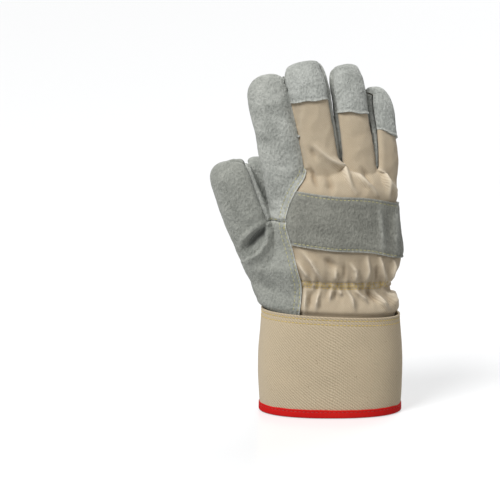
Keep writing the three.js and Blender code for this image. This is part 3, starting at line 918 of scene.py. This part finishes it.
palm_mesh = welded("palm", [body, tab], 0.02)
over, lump = read(palm_mesh, "over"), read(palm_mesh, "lump")
gap = np.minimum(from_edge(palm_mesh, "side", "inset"), from_edge(palm_mesh, "under", top=up_to(1.06)))
tab_gap = np.where(over > 0.3, from_edge(palm_mesh, "outline"), 1e3)
out = (turned_seam(gap) + lump * 1.1) * above_cuff(palm_mesh)
out = folded(palm_mesh, out, palm_creases)
out = folded(palm_mesh, out, [(line, -0.4, 0.9) for line in palm_rows])  # pulled in by the stitches
out += over * (lump * 0.35 - 0.3 * bell(tab_gap - tab_inset, 0.8) - 0.5 * bell(tab_gap, 1.0))
palm_mesh = shape_panel(palm_mesh, out, leather_wall, pale_edge_and_highlight=bell(tab_gap, 1.2) * 0.8)
palm = place_piece("palm_leather", palm_mesh, palm_suede)
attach(palm, "root")
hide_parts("palm")

# Fronts of the middle and ring fingers: one more piece of the same leather, sewn to the palm along
# a turned seam under the two fingers.
finger_creases = [
    ([(-24, 206), (-10, 204), (-2, 208)], -0.7, 3.0),
    ([(6, 208), (18, 204), (30, 207)], -0.7, 3.0),
]
mesh = cut(front, read(front, "under") - half_seam)
gap = np.minimum(from_edge(mesh, "side"), from_edge(mesh, "under", top=up_to(1.06)))
out = folded(mesh, turned_seam(gap) + read(mesh, "lump"), finger_creases)
fronts = place_piece("middle_ring_leather", shape_panel(mesh, out, leather_wall), palm_suede)
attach(fronts, "root")
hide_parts("middle_ring_front")

# Thumb: a front panel set into the palm along a round line, and a back panel that runs down over
# the ball of the thumb into the cuff. The seams are turned, with a thin pale welt showing.
thumb_folds = [  # (x, z) lines, then height and width
    ([(-43.7, 146), (-56.3, 140), (-64.8, 131.7), (-67.4, 123.2)], 1.8, 2.2),
    ([(-46.5, 141.5), (-56.3, 132.5), (-63.1, 123.2)], -4.6, 3.0),
    ([(-78, 170), (-70, 162), (-60, 158)], -0.5, 4.0),
    ([(-60.5, 107.3), (-46, 109.5), (-33.6, 109.5)], 0.9, 3.2),
    ([(-54, 96), (-45.5, 97.5), (-38, 98)], -1.3, 5.5),
    ([(-70, 152), (-62, 148), (-54, 150)], 0.7, 4.0),
]
web_crease = [  # where the leather between thumb and index finger folds over the ball of the thumb
    (-45.0, 144.2), (-48.4, 142.6), (-48.7, 131.0), (-52.9, 123.4), (-58.9, 119.0), (-64.8, 114.8),
]
lap_insets = (1.5, 4.8)  # two rows of stitches, measured in from the leather's edge over the cotton
# a darker copy of the same suede for both thumb panels, painting the thumb's shade into its colour
shaded_thumb_suede = suede_material("thumb suede", (0.385, 0.392, 0.352), (0.16, 0.168, 0.15), 0.36)
mesh = cut(front, read(front, "inset") - half_seam)
mesh = cut(mesh, tucked(mesh))
out = turned_seam(from_edge(mesh, "side", "inset")) + read(mesh, "lump")
thumb_front = place_piece("thumb_front_leather", shape_panel(mesh, out, leather_wall), shaded_thumb_suede)
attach(thumb_front, "root")
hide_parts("thumb_front")


def lapped_edge(lapped):
    """How far a raw edge over the cotton is pressed in, at the edge and at its two rows of stitches"""
    return 0.35 * bell(lapped, 0.8) + sum(0.3 * bell(lapped - inset, 0.8) for inset in lap_insets)


leather_back = cut(back, -read(back, "lap") - 0.05)
mesh = cut(leather_back, -read(leather_back, "foot") - half_seam)
mesh = cut(mesh, tucked(mesh))
gap, lapped = from_edge(mesh, "side", "foot"), from_edge(mesh, "lap")
out = (turned_seam(gap, 1.0) + read(mesh, "lump") + 0.35) * above_cuff(mesh)
out = folded(mesh, out, thumb_folds)
out += overlap(mesh, web_crease, lift=2.3, sink=0.9, reach=5.0)
out -= lapped_edge(lapped)
pale_edge_and_highlight = 0.9 * bell(lapped, 0.8) + 0.45 * bell(gap, 1.0)
# painted shade in the panel's dips, deepest in the crease under the web
painted_shade = np.clip(-out / 2.6, 0, 0.8)
thumb_mesh = shape_panel(mesh, out, leather_wall, painted_shade, pale_edge_and_highlight)
thumb_back = place_piece("thumb_back_leather", thumb_mesh, shaded_thumb_suede)
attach(thumb_back, "root")
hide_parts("thumb_back")

# Back of the index finger: leather that runs down from the fingertip to the thumb's panel and lies
# over the cotton along its right edge.
index_creases = [
    ([(-56, 206), (-46, 203), (-36, 204)], -0.8, 3.5),
    ([(-50, 188), (-40, 186), (-30, 188)], -0.8, 3.5),
]
finger_suede = suede_material("finger suede", (0.51, 0.52, 0.48), suede_dark, 0.36)
mesh = cut(leather_back, read(leather_back, "foot") - half_seam)
gap, lapped = from_edge(mesh, "side", "foot"), from_edge(mesh, "lap")
beside_cotton = read(mesh, "rest")[:, 2] <= up_to(lap_rows[-1, 0])
lapped = np.where(beside_cotton, lapped, 1e3)
out = turned_seam(gap, 1.1) + read(mesh, "lump") + 0.35
out = folded(mesh, out - lapped_edge(lapped), index_creases)
pale_edge_and_highlight = 0.9 * bell(lapped, 0.8) + 0.3 * bell(gap, 1.0)
index_mesh = shape_panel(mesh, out, leather_wall, pale_edge_and_highlight=pale_edge_and_highlight)
index_back = place_piece("index_back_leather", index_mesh, finger_suede)
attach(index_back, "root")
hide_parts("index_back")

# Cotton back: drill cloth over the back of the hand and of three fingers, tucked under the
# leather's edge, gathered by the elastic in the wrist and tucked into the cuff.
cotton_light, cotton_dark = (0.53, 0.455, 0.34), (0.36, 0.285, 0.19)
cotton_warm = (0.45, 0.345, 0.225)
cotton_folds = [  # (x, z) lines, then height and width
    ([(-12.5, 200.6), (-2, 191), (9.7, 181.1), (14.1, 170.4), (17.2, 167)], 1.1, 2.6),
    ([(0.7, 191.7), (7, 182.9), (14.1, 170.4)], 0.7, 1.8),
    ([(11.6, 179.9), (19.6, 176.5), (27.5, 171.1), (33, 164.6)], 1.2, 2.2),
    ([(33.1, 183.6), (37.9, 178.3), (40.9, 168.7), (41.6, 161.3)], 1.3, 2.0),
    ([(38.8, 174.2), (45.2, 167.8), (47.6, 160.6)], 1.0, 1.8),
    ([(-16.7, 185.3), (-13.4, 177.4), (-11, 170.4)], -1.2, 1.8),
    ([(-4, 180), (-1.6, 174.2), (0, 168)], -1.2, 3.0),
    ([(-16, 199), (-14.3, 195.7), (-12, 190)], -0.8, 2.0),
    ([(22, 184), (26, 176), (30, 168)], -0.9, 2.0),
    ([(-21.4, 123.7), (-15.4, 117.2), (-6.6, 102.6)], 1.5, 2.0),
    ([(-26, 117), (-19, 108), (-15, 102.6)], 1.1, 1.8),
    ([(-5.9, 119.6), (-1, 115), (3.7, 111.8)], -1.5, 3.0),
    ([(2.2, 111.8), (2.7, 103.6)], 1.1, 1.6),
    ([(9, 116), (9.5, 108), (9, 102)], -1.0, 1.8),
    ([(13.9, 114.8), (17.4, 109.9), (17.4, 102.1)], 1.3, 1.8),
    ([(25.3, 121.3), (26.9, 109.9), (25.4, 101)], 1.2, 1.8),
    ([(33, 111), (32.6, 98.5)], -1.1, 1.5),
    ([(34.5, 120.7), (36.5, 112.5), (38.9, 103.5), (39.7, 98.5)], 1.3, 1.6),
    ([(44.6, 117.9), (45.4, 111.5), (43.1, 102.4), (41.3, 97.5)], 1.5, 1.6),
    ([(-19.2, 95.6), (-20, 78.6)], 1.2, 2.0),
    ([(-8.8, 95.6), (-10.4, 90), (-12, 80.2)], 1.6, 2.0),
    ([(-14, 95), (-15.5, 88), (-16, 82)], -1.0, 1.6),
    ([(-0.9, 95.6), (-1.6, 87.5)], 1.4, 1.6),
    ([(5.5, 95.6), (7.1, 90.8)], 1.1, 1.4),
    ([(2.4, 95), (2.8, 88)], -1.0, 1.3),
    ([(11, 95.6), (13.5, 90), (16.7, 81.1)], 1.7, 1.8),
    ([(16.7, 95.6), (22.3, 89.2), (26.3, 85.9)], 1.4, 1.6),
    ([(25.5, 94.5), (30.2, 88.8), (34.2, 85.4)], -1.3, 1.5),
    ([(31.1, 92.4), (36.7, 85), (42.3, 79.3)], 1.6, 1.8),
    ([(39.1, 91.7), (44.8, 86), (49.6, 78.7)], 1.4, 1.8),
]
elastic_rows = [  # the two rows of stitches that hold the elastic, one above the other
    [(-22.5, 102.0), (-6, 100.6), (10.3, 99.9), (30, 99.5), (43, 99.6)],
    [(-22.5, 97.6), (-6, 96.3), (10.3, 95.7), (30, 95.3), (43, 95.4)],
]
cotton_under = 3.2  # how far the cotton runs on under the leather's edge
# The strap presses the folds under it flat, so its place is settled here: its height, how far its
# top lies below the fingers, and how that drops from the thumb's side to the little finger's.
strap_height, strap_drop = 39.5, 15.3
strap_rows = np.array([
    (-1.0, -0.12), (-0.63, -0.089), (0.0, 0.0), (0.59, 0.068), (0.96, 0.21), (1.3, 0.3),
])


def strap_top(x):
    """Height of the strap's upper edge across the hand"""
    return finger_foot - strap_drop - between(strap_rows, x / half_palm)[0] * strap_height


def in_strap(x, z):
    """Distance from the nearer edge of the strap, above zero inside it"""
    return np.minimum(strap_top(x) - z, z - strap_top(x) + strap_height)


mesh = cut(back, read(back, "lap") + cotton_under)
mesh = cut(mesh, tucked(mesh))
rest = read(mesh, "rest")
x, y, z = rest.T
calm = above_cuff(mesh)
gap = from_edge(mesh, "side")
out = turned_seam(gap, 1.0) * calm + read(mesh, "lump") * 0.9 * calm
crest_highlight = np.zeros(len(out))
for line, height, width in cotton_folds:
    strength = 2.7 if line[0][1] > 150 else 2.0  # the folds above the strap are the deeper ones
    out += fold(mesh, line, strength * height, 0.95 * width) * (0.35 + 0.65 * calm)
    if height > 0:
        out += fold(mesh, line, 0.7 * height, 0.8) * calm
        # painted highlight on the crest of each raised fold
        crest_highlight = np.maximum(crest_highlight, fold(mesh, line, 0.55, 1.0))
rows_middle = 98.5 - 0.04 * x
near_rows = bell(z - rows_middle, 3.2)
gathers = np.sin(x * 1.35 + 1.2 * lumps(rest, 9, 9)) + 0.5 * np.sin(x * 2.3 + 2.0)
out += 0.42 * near_rows * gathers * np.where(x > 22, 1.5, 1.0)  # deeper towards the little finger
out -= sum(0.65 * bell(z - rows_middle - side, 0.9) for side in (2.2, -2.2))
pleats = np.sin(x * 0.85 + 1.5 * lumps(rest, 14, 11))
out += 0.55 * bell(z - rows_middle, 13.0) * pleats * calm
ridges = 1 - 2 * np.abs(lumps(rest * (1.0, 1.0, 0.55), 11, 17))
out += 0.5 * ridges * calm + lumps(rest, 5, 13) * 0.3 * calm
out -= 1.4 * (1 - step(0, 4, level_height(mesh) - cuff_height))
out -= 1.5 * (1 - step(0.3, 4.2, read(mesh, "lap"))) * np.where(z < up_to(lap_rows[-1, 0]), 1.0, 0.3)
covered = step(-2.5, 1.0, in_strap(x, z))
out = np.where(out > 0, out * (1 - covered), out)
# painted shade in the fold valleys, and where the cotton dips under the leather's edge and into the cuff
painted_shade = np.clip((0.1 - out) / 4.2, 0, 0.75)
cotton = cloth_material(
    "cotton drill", cotton_light, cotton_dark, rib=0.00085, flecks=0.03, warm=cotton_warm, fuzz=0.15
)
cotton_mesh = shape_panel(mesh, out, cotton_wall, painted_shade, crest_highlight, ease=2)
cotton_back = place_piece("cotton_drill_back", cotton_mesh, cotton)
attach(cotton_back, "root")
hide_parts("cotton_back")

# Knuckle strap: a band of leather laid over the cotton from the index panel round to the side
# seam, with raw edges and one row of stitches along each.
strap_wall = 1.6
strap_inset = 1.8  # the rows of stitches, measured in from its edges
strap_folds = [
    ([(33.2, 158.8), (35, 140), (36.6, 120.8)], 1.3, 2.2),
    ([(45.6, 158.8), (46, 140), (46.2, 120.1)], 1.2, 1.8),
    ([(40.5, 157), (41.5, 140), (42, 122)], -1.0, 2.4),
    ([(-24, 160), (-22, 140), (-26, 128)], -0.4, 5.0),
]
strap_suede = suede_material("strap suede", (0.31, 0.31, 0.27), (0.12, 0.122, 0.104), 0.32)
x, y, z = read(back, "rest").T
write(back, "band", in_strap(x, z))
mesh = cut(back, read(back, "band"))
mesh = cut(mesh, read(mesh, "lap") - 0.5)
edge, end = from_edge(mesh, "band"), from_edge(mesh, "side")
beside = read(mesh, "lap") - 0.5
out = 0.3 + strap_wall * (0.35 + 0.65 * step(0, 5, end)) + read(mesh, "lump") * 0.7
out += 0.2 * bell(edge, 1.0) - 0.35 * bell(edge - strap_inset, 0.7) + 0.25 * bell(edge - 4.5, 2.5)
out -= 1.2 * (1 - step(0, 3.5, beside)) + 0.9 * bell(end, 1.5)
out = folded(mesh, out, strap_folds)
pale_edge_and_highlight = 0.5 * bell(edge, 0.7)
# painted highlight along the two fold ridges at the strap's right
for line in ([(33.2, 161), (35, 140), (36.6, 118)], [(45.6, 161), (46, 140), (46.2, 118)]):
    pale_edge_and_highlight = np.maximum(pale_edge_and_highlight, fold(mesh, line, 0.38, 1.6))
# painted shadow along the strap's end, where it runs under the leather's edge
painted_shade = np.clip(0.4 * bell(beside, 1.0), 0, 1)
strap_mesh = shape_panel(mesh, out, strap_wall, painted_shade, pale_edge_and_highlight)
strap = place_piece("knuckle_strap_leather", strap_mesh, strap_suede)
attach(strap, "root")
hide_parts("knuckle_strap")

# Fingertip caps: leather laid over the ends of the three cotton fingers and sewn in with the side
# seams. The raw lower edge of each lies on the cotton.
cap_wall = 1.6
# a paler copy of the same suede, painting the light that falls on the fingertips into its colour
lit_cap_suede = suede_material("fingertip suede", (0.53, 0.545, 0.51), (0.19, 0.2, 0.183), 0.34)
cap_rows = [  # finger, length of its cap and slant of the cap's lower edge
    ("middle", 28.0, 0.1),
    ("ring", 35.0, 0.2),
    ("little", 34.0, 0.35),
]
above_palm = cut(back, read(back, "rest")[:, 2] - up_to(1.0))


def nearness(points, digit):
    """Distance of points from a finger's middle: 1 on its face, less inside it"""
    at, u, v = along_digit(points, digit)
    wide, deep = digit_half(digit, at)
    return np.hypot(u / wide, v / deep)


for name, length, slant in cap_rows:
    digit = digits[name]
    middle_line = digit_axes(digit, np.linspace(0, 1, 60))[0]
    whole_length = np.linalg.norm(np.diff(middle_line, axis=0), axis=1).sum()
    points = read(above_palm, "rest")
    others = [nearness(points, digits[other]) for other in finger_rows if other != name]
    mine = (np.min(others, axis=0) - nearness(points, digit)) * 8
    at, u, v = along_digit(points, digit)
    begin = (at - (1 - length / whole_length)) * whole_length + slant * u + 0.35 * np.sin(u * 0.5)
    write(above_palm, "begin", begin)
    mesh = cut(above_palm, np.minimum(begin, mine))
    edge, end = from_edge(mesh, "begin"), from_edge(mesh, "side")
    near_side = np.minimum(end, from_edge(mesh, "lap"))
    out = 0.3 + cap_wall * (0.2 + 0.8 * step(0, 4.5, near_side)) + read(mesh, "lump") * 0.6
    out += 0.3 * bell(edge, 1.2) - 0.3 * bell(edge - 2.0, 0.7)
    out -= 0.7 * bell(end, 1.3)
    pale_edge_and_highlight = 0.6 * bell(edge, 0.9) + 0.35 * bell(end, 0.8)
    cap = place_piece(name + "_cap_leather", shape_panel(mesh, out, cap_wall, pale_edge_and_highlight=pale_edge_and_highlight), lit_cap_suede)
    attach(cap, "root")
    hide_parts(name + "_tip_cap")

# Stitching: waxed yellow and golden thread, and red on the hem, in rows of short stitches that pull
# into the leather and cloth. Each row is laid on the pieces it goes through.
stitch_pitch, stitch_long, stitch_half = 3.0, 2.3, 0.24


def thread_material(name, colour, dark):
    """Waxed thread, darker between its fibres"""
    material, tree, shader = start_material(name)
    place = add(tree, "TexCoord").outputs["Object"]
    fibres = add(tree, "TexNoise", {"Vector": place, "Scale": 900.0, "Detail": 3.0}).outputs[0]
    feed(tree, shader, {
        "Base Color": blend(tree, fibres, dark, colour),
        "Normal": bump(tree, fibres, 0.4, 0.0001),
        "Roughness": 0.5,
        "Sheen Weight": 0.1,
    })
    return material


def resample(line, pitch):
    """Points at even steps along a line"""
    line = np.array(line, float)
    before = np.concatenate([[0], np.cumsum(np.linalg.norm(np.diff(line, axis=0), axis=1))])
    at = np.arange(0, before[-1], pitch)
    return np.column_stack([np.interp(at, before, part) for part in line.T])


def surface(*pieces):
    """The faces of some pieces, to lay stitches on"""
    graph = bpy.context.evaluated_depsgraph_get()
    return [BVHTree.FromObject(piece, graph) for piece in pieces]


def drop_on(trees, point, aim):
    """Where a line from outside meets the first of some surfaces, in millimetres"""
    aim = Vector(aim).normalized()
    start = Vector(np.array(point) * 0.001 + cuff_middle) - aim * 0.08
    hits = [hit for hit in (tree.ray_cast(start, aim, 0.2) for tree in trees) if hit[0] is not None]
    if not hits:
        return None
    place, normal = min(hits, key=lambda hit: (hit[0] - start).length)[:2]
    return (np.array(place) - cuff_middle) * 1000, np.array(normal)


def add_stitch(thread, a, b, normal, half=stitch_half):
    """One stitch between two points, a slim pod whose ends sink in"""
    run = Vector(b) - Vector(a)
    if run.length < 0.2 or run.length > 9:
        return
    ahead = run.normalized()
    out = Vector(normal)
    side = ahead.cross(out).normalized()
    out = side.cross(ahead)
    centre = (Vector(a) + Vector(b)) / 2 + out * 0.1
    turn = Matrix((ahead, side, out)).transposed().to_4x4()
    size = Matrix.Diagonal((run.length / 2, half, half * 0.8, 1))
    lying = Matrix.Translation(centre) @ turn @ size @ Matrix.Rotation(math.pi / 2, 4, "Y")
    bmesh.ops.create_uvsphere(thread, u_segments=6, v_segments=4, radius=1, matrix=lying)


def sew_row(thread, trees, line, aim, pitch=stitch_pitch, long=stitch_long, half=stitch_half):
    """A row of stitches along a line of points; aim looks from outside towards the glove"""
    marks = resample(line, pitch)
    for point, following in zip(marks[:-1], marks[1:]):
        direction = aim(point) if callable(aim) else aim
        start = drop_on(trees, point, direction)
        finish = drop_on(trees, point + (following - point) * (long / pitch), direction)
        if start and finish:
            add_stitch(thread, start[0], finish[0], start[1] + finish[1], half)


def stitch_piece(name, thread, material):
    """All the stitches made so far, as one piece"""
    mesh = bpy.data.meshes.new(name)
    thread.to_mesh(mesh)
    thread.free()
    piece = place_piece(name, mesh, material, 80)
    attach(piece, "root")
    return piece


def flat_line(points):
    """A line of (x, z) points in the plane between palm and back"""
    return [(px, 0.0, pz) for px, pz in points]


to_back, to_front = (0, 1, 0), (0, -1, 0)
yellow_thread = thread_material("pale yellow thread", (0.56, 0.53, 0.24), (0.38, 0.35, 0.14))
golden_thread = thread_material("golden thread", (0.64, 0.48, 0.14), (0.44, 0.31, 0.08))

# Two rows along the leather's edge, from the cuff to the fingers, and a bar tack where the web ends.
thread = bmesh.new()
leather_trees = surface(thumb_back, index_back)
heights = np.linspace(79.5, 186, 60)
edge_x = lap_line(heights)
slope = np.gradient(edge_x, heights)
for inset in lap_insets:
    shift = inset / np.sqrt(1 + slope**2)
    line = np.column_stack([edge_x - shift, 0 * heights, heights + slope * shift])
    sew_row(thread, leather_trees, line, to_back)
for k in range(7):
    a = drop_on(leather_trees, (-35.2 + 0.35 * k, 0, 143.2 - 0.1 * k), to_back)
    b = drop_on(leather_trees, (-36.0 + 0.35 * k, 0, 139.8 - 0.1 * k), to_back)
    if a and b:
        add_stitch(thread, a[0], b[0], a[1])
sew_row(thread, leather_trees, flat_line([(-45.5, 146.0), (-36.5, 146.0)]), to_back)
stitch_piece("leather_edge_stitches", thread, yellow_thread)

# One row along each edge of the strap.
thread = bmesh.new()
strap_trees = surface(strap)
across_strap = np.linspace(-31, 49, 50)
for drop in (strap_inset, strap_height - strap_inset):
    line = np.column_stack([across_strap, strap_top(across_strap) - drop])
    sew_row(thread, strap_trees, flat_line(line), to_back)
stitch_piece("strap_stitches", thread, yellow_thread)

# Two rows over the wrist's elastic, with a zigzag between them.
thread = bmesh.new()
cotton_trees = surface(cotton_back)
for line in elastic_rows:
    sew_row(thread, cotton_trees, flat_line(line), to_back, pitch=2.6, long=2.1, half=0.3)
top_row, low_row = [np.array(line) for line in elastic_rows]
zigzag_pitch, zigzag_half = 1.75, 0.26
for k in range(36):
    across = -21.5 + k * zigzag_pitch
    top = np.interp(across, top_row[:, 0], top_row[:, 1]) - 0.7
    foot = np.interp(across, low_row[:, 0], low_row[:, 1]) + 0.7
    turns = ((across, 0, top), (across + 0.9, 0, foot), (across + zigzag_pitch, 0, top))
    a, b, c = [drop_on(cotton_trees, point, to_back) for point in turns]
    if a and b and c:
        add_stitch(thread, a[0], b[0], a[1], zigzag_half)
        add_stitch(thread, b[0], c[0], b[1], zigzag_half)
stitch_piece("elastic_stitches", thread, golden_thread)

# The crossed rows in the palm, one row round the wrist tab and two that hold the tab to the cuff.
thread = bmesh.new()
palm_trees = surface(palm)
for line in palm_rows:
    sew_row(thread, palm_trees, flat_line(line), to_front, pitch=2.8, long=2.3, half=0.4)
corner = tab_corner - tab_inset
left, right = tab_left + tab_inset, tab_right - tab_inset
foot_left, foot_right = [tab_foot(px) + tab_inset for px in (left, right)]
round_turns = np.linspace(0.2, 1.4, 6)
around = [(left, 79.0), (left, foot_left + corner)]
for t in round_turns:
    around.append((left + corner * (1 - math.cos(t)), foot_left + corner * (1 - math.sin(t))))
for t in round_turns[::-1]:
    around.append((right - corner * (1 - math.cos(t)), foot_right + corner * (1 - math.sin(t))))
around += [(right, foot_right + corner), (right, 74.0)]
sew_row(thread, palm_trees, flat_line(around), to_front)
for drop in (3.4, 7.0):
    across_tab = (tab_left + 1, 0, tab_right - 1)
    line = [(px, cuff_height - cuff_slope * 2 * px - drop) for px in across_tab]
    sew_row(thread, palm_trees, flat_line(line), to_front)
stitch_piece("palm_stitches", thread, yellow_thread)

# Two rows round the cuff's top edge.
thread = bmesh.new()
cuff_trees = surface(cuff)


def to_middle(point):
    """From outside the cuff towards its middle line"""
    return (-point[0], -point[1] * 1.6, 0.0)


def ring_at(height):
    """A line once round the cuff"""
    return cuff_place(np.linspace(0, 1, 160), np.full(160, height), 1.0)


for drop in top_rows:
    ring = ring_at(cuff_height - drop)
    sew_row(thread, cuff_trees, ring, to_middle, pitch=2.8, long=2.3, half=0.38)
stitch_piece("cuff_stitches", thread, golden_thread)

# One red row through the hem's tape.
thread = bmesh.new()
red_thread = thread_material("red thread", (0.5, 0.02, 0.012), (0.3, 0.006, 0.005))
sew_row(thread, surface(tape), ring_at(4.9), to_middle, pitch=3.2, long=2.3)
stitch_piece("hem_stitches", thread, red_thread)

# Studio: a wide pale floor with a faint gloss, one broad soft light from the left above the camera,
# weaker ones from the right and from behind, and a camera a little above the glove.


def floor_place(across, rise):
    """Points of the floor, 60 m each way"""
    return np.column_stack([(across - 0.5) * 60, rise * 60 - 20, 0 * rise])


floor_grid = sheet(4, 4, floor_place)
floor_paint, tree, paint = start_material("pale floor")
seen = add(tree, "LightPath").outputs["Is Camera Ray"]
feed(tree, paint, {
    "Base Color": (0.42, 0.425, 0.43, 1),
    "Roughness": 0.2,
    "Specular IOR Level": 0.4,
    "Emission Color": blend(tree, seen, (0, 0, 0), (1, 1, 1)),  # seen as white, but it lights nothing
    "Emission Strength": 0.5,
})
floor_grid.materials.append(floor_paint)
floor = bpy.data.objects.new("studio_floor", floor_grid)
bpy.context.collection.objects.link(floor)

world = bpy.data.worlds.new("studio air")
bpy.context.scene.world = world
world.use_nodes = True
background = world.node_tree.nodes["Background"]
feed(world.node_tree, background, {"Color": (1, 1, 1, 1), "Strength": 0.24})


def soft_light(name, azimuth, height, spread, power):
    """A broad far light; azimuth 0 is in front of the glove's back and grows to its right"""
    lamp = bpy.data.lights.new(name, "SUN")
    lamp.energy = power
    lamp.angle = math.radians(spread)
    holder = bpy.data.objects.new(name, lamp)
    turn, lift = math.radians(azimuth), math.radians(height)
    toward = Vector((math.sin(turn) * math.cos(lift), -math.cos(turn) * math.cos(lift), math.sin(lift)))
    holder.rotation_euler = toward.to_track_quat("Z", "Y").to_euler()
    bpy.context.collection.objects.link(holder)


soft_light("key light", azimuth=-44, height=50, spread=26, power=3.7)
soft_light("fill light", azimuth=55, height=25, spread=50, power=0.4)
soft_light("back light", azimuth=160, height=42, spread=40, power=1.9)

camera_data = bpy.data.cameras.new("camera")
camera_data.sensor_width = 36
camera_data.lens = 145.55
camera = bpy.data.objects.new("camera", camera_data)
camera_rise, camera_away = math.radians(10.5), 1.5
aim = Vector((cuff_middle[0] - 0.0601, cuff_middle[1], 0.1212))
camera.location = aim + Vector((0, -math.cos(camera_rise), math.sin(camera_rise))) * camera_away
camera.rotation_euler = (math.radians(90) - camera_rise, 0, 0)
bpy.context.collection.objects.link(camera)
bpy.context.scene.camera = camera
bpy.context.scene.view_settings.view_transform = "Standard"
